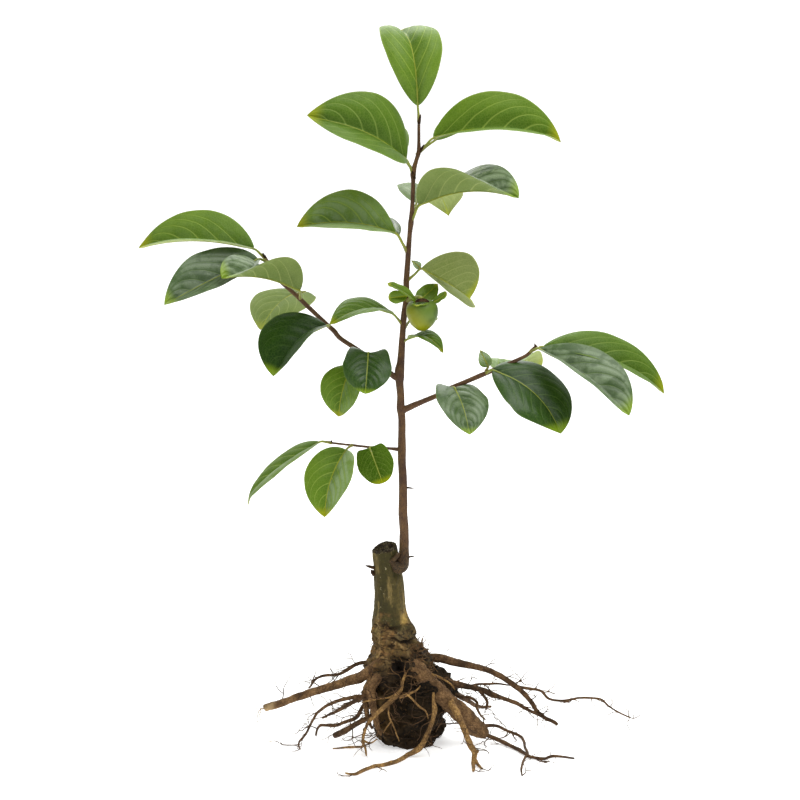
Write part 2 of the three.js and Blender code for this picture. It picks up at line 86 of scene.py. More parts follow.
class Field:
    """A value that changes from place to place."""

    def __init__(self, tree, socket):
        self.tree = tree
        self.socket = socket

    def math(self, operation, *others):
        return Field(self.tree, made(self.tree, "ShaderNodeMath", (self, *others), operation=operation))

    def vector(self, operation, *others):
        node = add(self.tree, "ShaderNodeVectorMath", (self, *others), operation=operation)
        return Field(self.tree, node.outputs["Value" if operation == "DOT_PRODUCT" else "Vector"])

    def scaled(self, factor):
        values = {0: self, 3: factor}
        return Field(self.tree, made(self.tree, "ShaderNodeVectorMath", values, operation="SCALE"))

    def parts(self):
        node = add(self.tree, "ShaderNodeSeparateXYZ", (self,))
        return [Field(self.tree, socket) for socket in node.outputs]

    def smooth(self, low, high):
        """0 at low, 1 at high, and a soft step between them."""
        values = {"Value": self, "From Min": low, "From Max": high}
        step = made(self.tree, "ShaderNodeMapRange", values, interpolation_type="SMOOTHSTEP")
        return Field(self.tree, step)

    def __add__(self, other):
        return self.math("ADD", other)

    def __sub__(self, other):
        return self.math("SUBTRACT", other)

    def __rsub__(self, other):
        return self.math("MULTIPLY_ADD", -1.0, other)

    def __mul__(self, other):
        return self.math("MULTIPLY", other)

    def __truediv__(self, other):
        return self.math("DIVIDE", other)

    def __pow__(self, other):
        return self.math("POWER", other)

    def __abs__(self):
        return self.math("ABSOLUTE")


# %% Vectors, noises and cells
def joined(x, y, z):
    """Three numbers as one vector field."""
    tree = next(value.tree for value in (x, y, z) if isinstance(value, Field))
    return Field(tree, made(tree, "ShaderNodeCombineXYZ", (x, y, z)))


def clouds(vector, scale, detail=3.0, roughness=0.5, output="Fac"):
    """A noise between 0 and 1, mostly near a half."""
    values = {"Vector": vector, "Scale": scale, "Detail": detail, "Roughness": roughness}
    return Field(vector.tree, add(vector.tree, "ShaderNodeTexNoise", values).outputs[output])


def cell_edge(vector, scale):
    """How far a place is from the nearest border between cells."""
    values = {"Vector": vector, "Scale": scale}
    node = add(vector.tree, "ShaderNodeTexVoronoi", values, feature="DISTANCE_TO_EDGE")
    return Field(vector.tree, node.outputs["Distance"])


print("Signs that make nodes: +, -, *, / and **")

# %% [markdown]
# ## Running a geometry tree
# A geometry tree is tried out on a live modifier as a rule, and kept live while a scene is edited.
# Here each tree is run once and its result is kept as a plain mesh. The inputs of a modifier are set
# by the identifier of each socket, before the object is shown to the scene, so the tree never runs
# with half of its sizes.


# %% Geometry trees
def group_fields(tree):
    """The inputs of a group as fields, by name."""
    return {socket.name: Field(tree, socket) for socket in tree.nodes.new("NodeGroupInput").outputs}


def geometry_tree(name, inputs):
    """An empty tree, the fields that its inputs give, and the node that takes its result."""
    tree = bpy.data.node_groups.new(name, "GeometryNodeTree")
    tree.interface.new_socket("Geometry", in_out="INPUT", socket_type="NodeSocketGeometry")
    for label, value in inputs.items():
        kind = {int: "Int", float: "Float", type(None): "Material"}[type(value)]
        socket = tree.interface.new_socket(label, in_out="INPUT", socket_type="NodeSocket" + kind)
        if value is not None:
            socket.default_value = value
    tree.interface.new_socket("Geometry", in_out="OUTPUT", socket_type="NodeSocketGeometry")
    return tree, group_fields(tree), tree.nodes.new("NodeGroupOutput")


def read(tree, name, kind="FLOAT"):
    """The field of a named attribute."""
    node = add(tree, "GeometryNodeInputNamedAttribute", {"Name": name}, data_type=kind)
    return Field(tree, next(socket for socket in node.outputs if socket.enabled))


def store(tree, geometry, name, value, kind="FLOAT"):
    """Keeps a field as a named attribute on the points."""
    values = {"Geometry": geometry, "Name": name, "Value": value}
    return made(tree, "GeometryNodeStoreNamedAttribute", values, data_type=kind, domain="POINT")


def position(tree):
    """The place of each point."""
    return Field(tree, made(tree, "GeometryNodeInputPosition"))


def together(tree, *parts):
    """Several geometries as one."""
    node = tree.nodes.new("GeometryNodeJoinGeometry")
    for part in parts:
        tree.links.new(part, node.inputs[0])
    return node.outputs[0]


# %% Pieces from meshes and trees
def placed(name, mesh, *materials):
    """Puts a mesh with its materials into the scene as an object."""
    for material in materials:
        mesh.materials.append(material)
    piece = bpy.data.objects.new(name, mesh)
    bpy.context.scene.collection.objects.link(piece)
    return piece


def skin_mesh(name, vertices, faces):
    """A smooth mesh of faces."""
    mesh = bpy.data.meshes.new(name)
    mesh.from_pydata(vertices, [], faces)
    mesh.shade_smooth()
    return mesh


def points_mesh(name, points, edges=(), **fields):
    """A mesh of bare points with named values, for a geometry tree to start from."""
    mesh = bpy.data.meshes.new(name)
    mesh.from_pydata([tuple(point) for point in points], list(edges), [])
    for field, values in fields.items():
        is_vector = hasattr(values[0], "__len__")
        attribute = mesh.attributes.new(field, "FLOAT_VECTOR" if is_vector else "FLOAT", "POINT")
        flat = [part for value in values for part in value] if is_vector else list(values)
        attribute.data.foreach_set("vector" if is_vector else "value", flat)
    return mesh


def grown(name, mesh, tree, **sizes):
    """Runs a tree on a mesh and gives back the result as a plain object."""
    start = bpy.data.objects.new(name + "_start", mesh)
    modifier = start.modifiers.new("Grow", "NODES")
    modifier.node_group = tree
    for item in tree.interface.items_tree:
        label = item.name.replace(" ", "_").lower()
        if item.in_out == "INPUT" and label in sizes:
            modifier[item.identifier] = sizes[label]
    bpy.context.scene.collection.objects.link(start)
    graph = bpy.context.evaluated_depsgraph_get()
    result = bpy.data.meshes.new_from_object(start.evaluated_get(graph), depsgraph=graph)
    bpy.data.objects.remove(start)
    result.name = name
    return placed(name, result)


def dressed(piece, slot, *nodes):
    """Ties a finished piece to the frame and prints its size."""
    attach(piece, "root")
    if nodes:
        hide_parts(*nodes)
    triangles = sum(len(face.vertices) - 2 for face in piece.data.polygons)
    print(f"{piece.name}: {triangles} triangles")


# %% [markdown]
# ## Shared effects for the materials
# Bark, earth and leaves all have soft blotches, and bark and roots have cracks that run with the
# grain. Each effect could be built again in every material. It is kept here once as a shader
# group with named inputs, and each material places it with its own values. The groups put out
# only masks; the shader itself stays in the material.


# %% Group of soft blotches
def shader_group(name, inputs, outputs):
    """An empty shader group, its input fields, and a function that sends its masks out."""
    tree = bpy.data.node_groups.new(name, "ShaderNodeTree")
    for label, value in inputs.items():
        kind = "NodeSocketVector" if value is None else "NodeSocketFloat"
        socket = tree.interface.new_socket(label, in_out="INPUT", socket_type=kind)
        if value is not None:
            socket.default_value = value
    for label in outputs:
        tree.interface.new_socket(label, in_out="OUTPUT", socket_type="NodeSocketFloat")
    return tree, group_fields(tree), tree.nodes.new("NodeGroupOutput")


def place_group(tree, group, **values):
    """Places a group in a material and gives back its outputs as fields."""
    node = tree.nodes.new("ShaderNodeGroup")
    node.node_tree = group
    for socket in node.inputs:
        label = socket.name.replace(" ", "_").lower()
        if label in values:
            feed(tree, socket, values[label])
    return {socket.name: Field(tree, socket) for socket in node.outputs}


blotches, given, result = shader_group(
    "Soft blotches",
    {"Vector": None, "Scale": 40.0, "Low": 0.4, "High": 0.6},
    ["Mask"],
)
noisy = clouds(given["Vector"], given["Scale"], 4.0, 0.6)
feed(blotches, result.inputs["Mask"], noisy.smooth(given["Low"], given["High"]))


def patches(vector, scale, low, high):
    """A mask of soft blotches, 0 where the noise is below low and 1 where it is above high."""
    return place_group(vector.tree, blotches, vector=vector, scale=scale, low=low, high=high)["Mask"]


# %% Cracks along the grain
CRACK_WANDER = 4.0 * MM
cracks, given, result = shader_group(
    "Cracks along the grain",
    {"Vector": None, "Scale": 300.0, "Stretch": 4.0, "Width": 0.12},
    ["Crack", "Height"],
)
x, y, z = given["Vector"].parts()
grain = joined(x, y, z / given["Stretch"])
wander = clouds(grain, given["Scale"] * 0.5, 3.0, output="Color")
bent = grain.vector("ADD", wander.scaled(CRACK_WANDER))
edge = cell_edge(bent, given["Scale"])
feed(cracks, result.inputs["Crack"], 1.0 - edge.smooth(0.0, given["Width"]))
grit = clouds(grain, given["Scale"] * 2.0) * 0.4
feed(cracks, result.inputs["Height"], edge.smooth(0.0, given["Width"] * 2.5) + grit)
print("Shader groups:", blotches.name, "and", cracks.name)


# %% Starting a material
def finish(name, roughness, specular=0.5, **constants):
    """A Principled material with its plain values typed in, its tree and its shader."""
    material = bpy.data.materials.new(name)
    material.use_nodes = True
    shader = material.node_tree.nodes["Principled BSDF"]
    shader.inputs["Roughness"].default_value = roughness
    shader.inputs["Specular IOR Level"].default_value = specular
    for label, value in constants.items():
        shader.inputs[label.replace("_", " ").title()].default_value = value
    return material, material.node_tree, shader


def tint(red, green, blue):
    """A colour as screens write it, 0 to 255, in the linear values that Blender counts in."""
    shares = [value / 255 for value in (red, green, blue)]
    return (*[s / 12.92 if s <= 0.04045 else ((s + 0.055) / 1.055) ** 2.4 for s in shares], 1.0)


def mixed(factor, first, second):
    """One colour turning into another where the mask is 1."""
    node = add(factor.tree, "ShaderNodeMix", {0: factor, 6: first, 7: second}, data_type="RGBA")
    return Field(factor.tree, node.outputs[2])


def coats(skin, *layers):
    """Colours laid one over another on a skin, each where its mask is 1."""
    for mask, colour in layers:
        skin = mixed(mask, skin, colour)
    return skin


def attribute(tree, name, output="Fac"):
    """A value that the geometry carries."""
    node = add(tree, "ShaderNodeAttribute", attribute_name=name, attribute_type="GEOMETRY")
    return Field(tree, node.outputs[output])


def raised(tree, shader, height, depth, strength=1.0):
    """Bends the light by a height field, depth metres deep."""
    values = {"Height": height, "Distance": depth, "Strength": strength}
    feed(tree, shader.inputs["Normal"], made(tree, "ShaderNodeBump", values))


def object_place(tree):
    """The place on the object, for patterns that stay with it."""
    return Field(tree, add(tree, "ShaderNodeTexCoord").outputs["Object"])


# %% [markdown]
# ## Bark on the limbs
# A limb is a tapering round bar with shallow ridges, and the young stem swells where a leaf or a
# bough leaves it. It could be modelled as a cylinder and sculpted. Here one geometry tree sweeps a
# ring along a line of points that carry their own girth, then pushes the skin in and out with
# two noises, one stretched along the grain for ridges and one round for lumps. The same tree makes
# the stem, boughs, leaf stalks, roots and the finest root hairs, each with its own values.

# %% Limb tree
STRAY_SCALE = 28.0
STRAY_FREE = 20 * MM  # a limb keeps to its line at its foot and strays in full from here on
limb_tree, size, result = geometry_tree(
    "Limb with bark",
    {
        "Sides": 16,
        "Ring Spacing": 0.002,
        "Ridge Share": 0.05,
        "Ridge Scale": 400.0,
        "Stretch": 4.0,
        "Lump Share": 0.08,
        "Lump Scale": 60.0,
        "Wander": 0.0,
        "Floor": -1.0,
        "Bark": None,
    },
)


def limb_rule(tree, size):
    """A line swept by a ring, with bark on its skin."""
    # An even line through the points, which strays from them by the wander
    line = made(tree, "GeometryNodeMeshToCurve", (size["Geometry"],))
    line = made(tree, "GeometryNodeCurveSplineType", {"Curve": line}, spline_type="CATMULL_ROM")
    values = {"Curve": line, "Length": size["Ring Spacing"]}
    line = made(tree, "GeometryNodeResampleCurve", values, mode="LENGTH")
    here = position(tree)
    along = add(tree, "GeometryNodeSplineParameter").outputs["Length"]
    line = store(tree, line, "along", along)
    stray = clouds(here, STRAY_SCALE, 3.0, output="Color").vector("SUBTRACT", (0.5, 0.5, 0.5))
    free = read(tree, "along").smooth(0.0, STRAY_FREE) * size["Wander"] * 2.0
    line = made(tree, "GeometryNodeSetPosition", {"Geometry": line, "Offset": stray.scaled(free)})
    # A ring swept along it; each point of the skin keeps its place in the grain
    ring = made(tree, "GeometryNodeCurvePrimitiveCircle", {"Resolution": size["Sides"], "Radius": 1.0})
    ring = store(tree, ring, "rim", here, "FLOAT_VECTOR")
    girth = read(tree, "girth")
    values = {"Curve": line, "Profile Curve": ring, "Scale": girth, "Fill Caps": True}
    tube = made(tree, "GeometryNodeCurveToMesh", values)
    x, y, _ = read(tree, "rim", "FLOAT_VECTOR").parts()
    tube = store(tree, tube, "grain", joined(x * girth, y * girth, read(tree, "along")), "FLOAT_VECTOR")
    # Ridges drawn out along the grain, and round lumps
    x, y, z = read(tree, "grain", "FLOAT_VECTOR").parts()
    ridge = clouds(joined(x, y, z / size["Stretch"]), size["Ridge Scale"], 3.0, 0.6) - 0.5
    lump = clouds(here, size["Lump Scale"], 2.0) - 0.5
    relief = girth * (ridge * size["Ridge Share"] + lump * size["Lump Share"]) * 2.0
    out = Field(tree, made(tree, "GeometryNodeInputNormal"))
    tube = made(tree, "GeometryNodeSetPosition", {"Geometry": tube, "Offset": out.scaled(relief)})
    # Nothing lies below the floor
    x, y, z = here.parts()
    above = joined(x, y, z.math("MAXIMUM", size["Floor"]))
    tube = made(tree, "GeometryNodeSetPosition", {"Geometry": tube, "Position": above})
    tube = made(tree, "GeometryNodeSetShadeSmooth", {"Geometry": tube})
    tube = made(tree, "GeometryNodeRealizeInstances", {"Geometry": tube})
    return made(tree, "GeometryNodeSetMaterial", {"Geometry": tube, "Material": size["Bark"]})


feed(limb_tree, result.inputs[0], limb_rule(limb_tree, size))
print("Limb tree nodes:", len(limb_tree.nodes))


# %% Limbs along lines
def limbs(name, lines, **sizes):
    """Sweeps the limb tree along lines of x, y, z and girth in millimetres."""
    points, edges, girths = [], [], []
    for line in lines:
        first = len(points)
        points += [[part * MM for part in point[:3]] for point in line]
        girths += [point[3] * MM for point in line]
        edges += [(first + i, first + i + 1) for i in range(len(line) - 1)]
    return grown(name, points_mesh(name, points, edges, girth=girths), limb_tree, **sizes)


# %% [markdown]
# ## Young bark
# The stem and boughs are red-brown, with a greyer skin, fine cracks along the grain and small pale
# pores. The colour could come from a picture of bark. Here it is mixed from the shared groups on
# the grain that the limb tree keeps, so the cracks follow every bend.

# %% Young bark finish
GRAFT_TOP, GRAFT_FOOT = 192 * MM, 168 * MM
young_bark, tree, shader = finish("young_bark", 0.62, 0.35)
grain = attribute(tree, "grain", "Vector")
soft = patches(grain, 70.0, 0.35, 0.65)
pores = patches(object_place(tree), 900.0, 0.64, 0.72)
seams = place_group(tree, cracks, vector=grain, scale=900.0, stretch=5.0, width=0.16)
foot = object_place(tree).parts()[2].smooth(GRAFT_TOP, GRAFT_FOOT)
skin = coats(
    mixed(soft, tint(79, 51, 27), tint(106, 75, 39)),
    (seams["Crack"] * 0.6, tint(46, 28, 22)),
    (pores * 0.5, tint(156, 128, 90)),
    (foot * (soft * 0.4 + 0.35), tint(78, 62, 32)),
    (foot * seams["Crack"], tint(34, 26, 14)),
)
feed(tree, shader.inputs["Base Color"], skin)
raised(tree, shader, seams["Height"] * (foot * 2.0 + 1.0), 0.25 * MM, 0.8)
print(young_bark.name, "uses", blotches.name, "and", cracks.name)

# %% [markdown]
# ## Stem and boughs
# The leader runs in one line from the graft to the top bud and bends a little at each leaf. The
# side boughs thin out towards their tips. Their lines are those of the construction; what is
# added is the swelling at each node, which shows as a short thicker stretch of the line.

# %% Lines of the stem and boughs
STEM_LINE = [
    (-11.5, -9, 170, 1.6), (-8.5, -10, 168, 3.2), (-5.2, -10, 165.6, 4.7), (-2.4, -9, 164.8, 5.5),
    (-0.4, -7, 167, 5.8), (0.7, -4, 173, 5.1), (1, -1.5, 181, 4.5), (1, 0, 190, 4.4), (1, 0, 200, 4.2),
    (0, 0, 212, 4.2), (0, 0, 225, 4.0), (0, 0, 244, 3.8), (-1, 0, 262, 3.7), (-1, 0, 271, 3.9),
    (-1, 0, 281, 3.6), (-1, 0, 300, 3.4), (-2, 0, 310, 3.8), (-2, 0, 320, 3.4), (-3, 0, 332, 3.6),
    (-3, 0, 338, 4.3), (-3, 0, 345, 4.4), (-2, 0, 352, 3.5), (-1, 0, 368, 3.1), (0, 0, 383, 2.7),
    (1, 0, 395, 2.8), (3, 0, 410, 2.6), (3, 0, 425, 2.7), (4, 0, 440, 2.5), (5, 0, 455, 2.4),
    (6, 0, 468, 2.1), (7, 0, 477, 2.6), (7.5, 0, 484, 2.1), (8.5, 0, 497, 1.9), (9, 0, 514, 1.9),
    (9, 0, 521, 2.6), (10, 0, 527, 2.1), (12, 0, 534, 1.8), (14, 0, 541, 2.1), (14, 0, 549, 1.5),
    (14, 0, 564, 1.3), (14.5, 0, 571, 1.2),
]
LEFT_LINE = [
    (-3, 0, 337, 3.2), (-8, 0, 339, 2.9), (-13, 0, 343, 2.4), (-27, 1, 353, 2.4), (-30, 1, 355, 2.5),
    (-41, 2, 363, 2.2), (-56, 2, 373, 2.1), (-62, 2, 380, 2.2), (-70, 4, 387, 2.0), (-92, 5, 408, 2.0),
    (-96, 5, 412, 1.9), (-113, 7, 427, 1.5), (-121, 8, 441, 1.6), (-124, 8, 447, 1.1),
]
RIGHT_LINE = [
    (0, 0, 308, 3.3), (6, -1, 311, 3.0), (17, -2, 316, 2.5), (31, -2, 322, 2.3), (40, -2, 327, 2.4),
    (44, -2, 329, 2.3), (58, -2, 335, 2.1), (70, -1, 340, 2.3), (89, 0, 348, 1.8), (109, 0, 357, 1.6),
    (116, 0, 363, 1.6), (120, 0, 367, 1.1),
]
LOW_LINE = [
    (-3, 0, 272, 2.0), (-8, 0, 272.5, 1.6), (-13, 0, 273, 1.3), (-24, 0, 274, 1.4), (-28, 0, 274, 1.2),
    (-38, 0, 275, 1.1), (-46, 0, 276, 1.2), (-52, 0, 276.5, 1.0), (-64, 0, 278, 1.0), (-67, 0, 278, 0.7),
]
BARK_SIZES = {
    "sides": 28,
    "ring_spacing": 0.9 * MM,
    "ridge_share": 0.05,
    "ridge_scale": 520.0,
    "stretch": 5.0,
    "lump_share": 0.07,
    "lump_scale": 90.0,
    "bark": young_bark,
}

# %% Stem and bough pieces
for node, line in (
    ("stem", STEM_LINE),
    ("bough_left", LEFT_LINE),
    ("bough_right", RIGHT_LINE),
    ("bough_lower_left", LOW_LINE),
):
    dressed(limbs(node + "_bark", [line], **BARK_SIZES), "young_bark", node)

# %% [markdown]
# ## Buds and spurs
# A small dark bud sits in the corner of each upper leaf and at each bough's tip, and dry spurs stick
# out where side shoots broke off. They are short tapering limbs, so the same tree makes them.

# %% Buds
bud_brown, tree, shader = finish("bud_brown", 0.85, 0.1)
soft = patches(object_place(tree), 400.0, 0.4, 0.6)
feed(tree, shader.inputs["Base Color"], mixed(soft, tint(40, 27, 18), tint(70, 50, 30)))
BUDS = [
    ((14, -1, 566), (15.5, -2, 574), 1.4),
    ((15, -1, 541), (18.5, -3, 547.5), 1.2),
    ((10, -1, 517), (8, -3, 524), 1.6),
    ((-123, 8, 444), (-125.5, 6, 450), 1.3),
    ((119, 0, 365), (118, -1, 369), 1.2),
    ((-65, 0, 278), (-64, -2, 281), 1.0),
    ((2, 0, 237), (10, -2, 236.5), 0.9),
    ((4, -3, 173), (11, -5, 174.5), 0.9),
    ((-26, -3, 163), (-34, -6, 166), 1.5),
    ((-26, -2, 157), (-29, -4, 161), 2.4),
]
buds = []
for base, tip, girth in BUDS:
    middle = [(a + b) / 2 for a, b in zip(base, tip)]
    buds.append([(*base, girth), (*middle, girth * 0.9), (*tip, girth * 0.3)])
BUD_SIZES = {"sides": 12, "ring_spacing": 0.6 * MM, "lump_share": 0.2, "lump_scale": 300.0}
dressed(limbs("buds", buds, bark=bud_brown, **BUD_SIZES), "young_bark")

# %% [markdown]
# ## What each leaf is
# A leaf is given by a few sizes, as in the construction: where its stalk leaves the twig, where the
# blade starts and ends, which way its upper side looks, and how far it arches, folds and twists.
# Foot and point say how blunt its two ends are, lobe pushes the foot back to a heart shape, hook
# bends the tip and belly curls the halves. The tone deals out the finish: young leaves are
# yellow-green, full ones green, old ones dark and glossy. One more number for each leaf paints
# sheen on it, a silvery colour, where it is positive, and paints shade, a deeper green, where it is
# negative, on one half only where half is set; this painted sheen and shade is the same in every
# view. Two small blades stand for the curled feet of larger leaves.

# %% Leaf tables
YOUNG, GREEN, DARK = 0, 1, 2


def leaf(node, base, tip, face, width, arch, fold, tone=GREEN, twist=0, sweep=0, widest=0.45,
         foot=0.75, point=0.9, lobe=0, hook=0, belly=18, cast=0, half=0):
    """One leaf, in millimetres and degrees; foot and point: 0.5 is round and 1 a wedge."""
    return dict(node=node, base=base, tip=tip, face=face, width=width, arch=arch, fold=fold,
                tone=tone, twist=twist, sweep=sweep, widest=widest, foot=foot, point=point,
                lobe=lobe, hook=hook, belly=belly, cast=cast, half=half)


LEAVES = {
    "foliage_top": [
        leaf((14, 0, 567), (13, -2, 581.5), (-5, 56, 643.5), (0.22, -1, 0.2), 55, 29, 36, YOUNG, 16,
             widest=0.58, foot=0.72, point=0.56, belly=36, cast=0.06),
        leaf((9, 0, 520), (3, -3, 534), (-84, -35, 574), (0.2, -0.65, 0.65), 74, 12, 40, GREEN, -10,
             widest=0.42, hook=3),
        leaf((15, 0, 541), (27, 0, 553), (142, 10, 550), (0, -0.55, 0.8), 68, 13, 43, YOUNG,
             widest=0.48, belly=5, hook=-3, cast=-0.06),
        leaf((9, 0, 524), (-2, 12, 536), (-40, 90, 566), (-0.1, -0.15, 1), 44, 6, 16),
        leaf((12, 0, 538), (28, 8, 550), (88, 92, 574), (0.1, -0.1, 1), 34, 5, 16, YOUNG),
    ],
    "foliage_upper": [
        leaf((7, 0, 477), (14, -4, 493), (101, -45, 504), (0, 0.05, 1), 64, 10, 55, DARK, 70,
             widest=0.45, foot=0.6, point=0.65, cast=0.72),
        leaf((8, 0, 487), (21, 15, 498), (42, 75, 475), (0.1, 0.5, 0.8), 46, 14, 10, YOUNG,
             widest=0.45, point=1.25),
        leaf((8, 0, 483), (12, 12, 494), (16, 95, 500), (0, -0.1, 1), 38, 8, 18, cast=0.5),
        leaf((4, 0, 451), (-6, -3, 468), (-94, -20, 476), (0, -0.6, 0.8), 60, 10, 41, YOUNG,
             foot=0.95, belly=8, cast=0.3),
        leaf((5, 0, 447), (-4, 10, 465), (-38, 85, 476), (0, -0.1, 1), 25, 5, 14, DARK, cast=0.6),
    ],
    "foliage_middle": [
        leaf((3, 0, 425), (16, -4, 437), (59, -45, 416), (0.72, 0.66, 0.19), 62, 3, 46, YOUNG,
             widest=0.58, foot=0.8, point=0.5, belly=8, cast=-0.3),
        leaf((0, 0, 385), (-9, -3, 396), (-65, -35, 391), (0, -0.25, 0.95), 38, 10, 27, cast=-0.1),
        leaf((-1, 0, 369), (5, -3, 373.5), (36, -30, 364.5), (0.3, -0.4, 0.85), 23, 9, 25,
             widest=0.42, point=1.1),
        leaf((1, 0, 382), (7, 10, 389), (30, 58, 381), (0, 0, 1), 22, 4, 10),
        # The curled foot of the first leaf; its paler look is painted sheen.
        leaf((15, -4, 436.5), (15.5, -4, 437.5), (7.4, -5, 444.5), (0.3, -1, 0.3), 7, 1, 12, YOUNG,
             widest=0.3, foot=0.5, point=1.2, belly=4, cast=1.0),
    ],
    "foliage_left": [
        leaf((-123, 8, 444), (-133, 8, 453), (-238, 20, 452), (0, -0.42, 0.9), 60, 9, 42, YOUNG,
             belly=8, cast=0.06),
        leaf((-121, 8, 441), (-129, 0, 445), (-210, -45, 410), (0.1, -0.5, 0.85), 54, 3, 38, DARK,
             widest=0.5, foot=0.6, belly=8, cast=0.28),
        leaf((-92, 5, 408), (-92, -6, 417), (-159, -50, 434), (0.1, 0.2, 0.95), 58, 7, 50, DARK, -66,
             widest=0.45, foot=0.6, point=0.52, cast=0.5),
        leaf((-96, 5, 412), (-88, 12, 414), (-131, 60, 372), (-0.3, 0.7, 0.6), 60, 11, 12),
        leaf((-66, 3, 384), (-68, -6, 386), (-113, -30, 343), (-0.75, -0.6, 0.5), 72, 8, 42, DARK,
             sweep=3, widest=0.52, hook=3, cast=-0.42),
    ],
    "leaf_left_front": [
        leaf((-28, 1, 354), (-31, -12, 362.5), (-33.5, -38, 329.5), (0.05, -0.95, 0.32), 44, 3, 14, DARK,
             widest=0.4, foot=0.42, point=0.72, lobe=9, cast=-0.06),
    ],
    "leaf_left_under": [
        leaf((-37, 2, 361), (-46, 8, 348), (-58, 0, 302), (-0.35, -0.85, 0.4), 42, 6, 34, YOUNG,
             cast=0.25, half=1),
    ],
    "foliage_right": [
        leaf((73, 0, 341), (82, 8, 344), (128, 62, 339), (-0.2, 0.2, 1), 42, 4, 30, YOUNG, -64,
             widest=0.42, foot=0.5, point=0.7, cast=0.8),
        leaf((73, 0, 341), (80, -8, 346), (140, -40, 294), (0.5, -0.7, 0.5), 66, 6, 16, DARK,
             sweep=-9, widest=0.52, foot=0.6, cast=-0.12),
        leaf((114, 0, 361), (121, -4, 365), (200, -45, 311), (0.42, -0.5, 0.7), 60, 7, 40, DARK,
             widest=0.55, foot=0.9, point=0.75, belly=8, cast=0.45),
        leaf((117, 0, 363), (126, 6, 365), (237, 20, 319), (0.25, -0.35, 0.85), 57, 13, 36, GREEN,
             widest=0.55, point=0.8, cast=-0.14),
        # The curled foot of this bough's first leaf; its paler look is painted sheen.
        leaf((74.5, 4, 343), (76.8, 5, 346.8), (69.5, 6, 362), (-0.2, -1, 0.2), 12, 1, 12, YOUNG,
             widest=0.35, foot=0.5, point=1.1, belly=4, cast=1.0),
    ],
    "leaf_right_front": [
        leaf((42, -2, 328), (46, -8, 330), (59, -45, 294), (0.33, -0.8, 0.5), 49, 5, 22, DARK,
             widest=0.4, foot=0.48, lobe=8, cast=0.32),
    ],
    "foliage_lower_left": [
        leaf((-64, 0, 278), (-75, 0, 279), (-146, 10, 219.5), (-0.6, -0.12, 0.75), 51, 5, 20, YOUNG,
             widest=0.5, hook=-6, cast=0.4, half=1),
        leaf((-46, 0, 276), (-51, -6, 273), (-70, -35, 217), (-0.35, -0.85, 0.3), 48, 6, 34, YOUNG,
             sweep=3, foot=0.55, cast=0.48, half=1),
    ],
    "leaf_lower_left_front": [
        leaf((-24, 0, 274), (-30, -7, 275), (-18, -40, 249), (-0.1, -0.85, 0.5), 33, 4, 8, GREEN,
             widest=0.45, foot=0.42, point=0.48, lobe=7, cast=-0.42),
    ],
}
NO_TWIG = (0, 0, 0)  # the lobes of the calyx have no stalks
CALYX = [
    leaf(NO_TWIG, (12, -21, 409), (-14, -27, 426.5), (0.3, -0.4, 0.87), 14, 2, 30, foot=0.6, point=0.6),
    leaf(NO_TWIG, (4, -23, 415), (-13, -26, 413.5), (0, -1, 0.3), 12, 1, 20,
         foot=0.7, point=0.5, widest=0.6),
    leaf(NO_TWIG, (11, -14, 407.5), (31, 2, 422.5), (0.1, -1, 0.7), 17, -2, 18,
         point=0.85, widest=0.55),
    leaf(NO_TWIG, (24, -19, 408), (38.5, -23, 418.5), (-0.4, -0.7, 0.6), 8, -2, 25,
         point=0.5, widest=0.6),
    leaf(NO_TWIG, (16, -22, 409), (12, -33, 408.5), (0, 0.2, 1), 16, 0, 10),
]
print("Leaves:", sum(len(leaves) for leaves in LEAVES.values()))

# %% [markdown]
# ## The blade rule
# A blade has a rounded foot, a drawn-out tip and a midrib that bends. Its halves fold up, its side
# veins lie sunk in it and its margins wave. Modelling thirty such leaves one by one would take
# days, and copies of one leaf would look alike. So a geometry tree puts a flat grid on one point
# for each leaf and bends it by the numbers that the point carries. The upper and the under side
# are two grids that meet at the margin, where they are merged into one closed shell.

# %% Outline and veins
SIDE_VEINS = 6.2
MARGIN_DROOP = math.radians(5)
CREASE = 0.05  # share of the half width over which the two halves turn into each other
VEIN_LEAN, VEIN_BEND = 0.24, 0.32
LOBE_END, LOBE_GAIN = 0.3, 22.5  # the gains make the greatest push 1
HOOK_START, HOOK_GAIN = 0.8, 25.0
GROOVE = 2.2 * MM  # half the width of the hollow along the midrib
WELD = 0.01 * MM


def side_vein_count(place, offset, seed):
    """Counts across the side veins, which leave the midrib forwards and bend on towards the tip."""
    spread = abs(offset)
    start = place - spread * VEIN_LEAN - spread**2.6 * VEIN_BEND
    return start, start * SIDE_VEINS + offset.math("GREATER_THAN", 0.0) * 0.5 + seed


def half_width(place, widest, foot, point):
    """Share of the greatest half width at a place between the foot and the tip."""
    low = (1.0 - ((widest - place) / widest) ** 2.0).math("MAXIMUM", 0.0) ** foot
    high = (1.0 - ((place - widest) / (1.0 - widest)) ** 2.0).math("MAXIMUM", 0.0) ** point
    below = place.math("LESS_THAN", widest)
    return low * below + high * (1.0 - below)


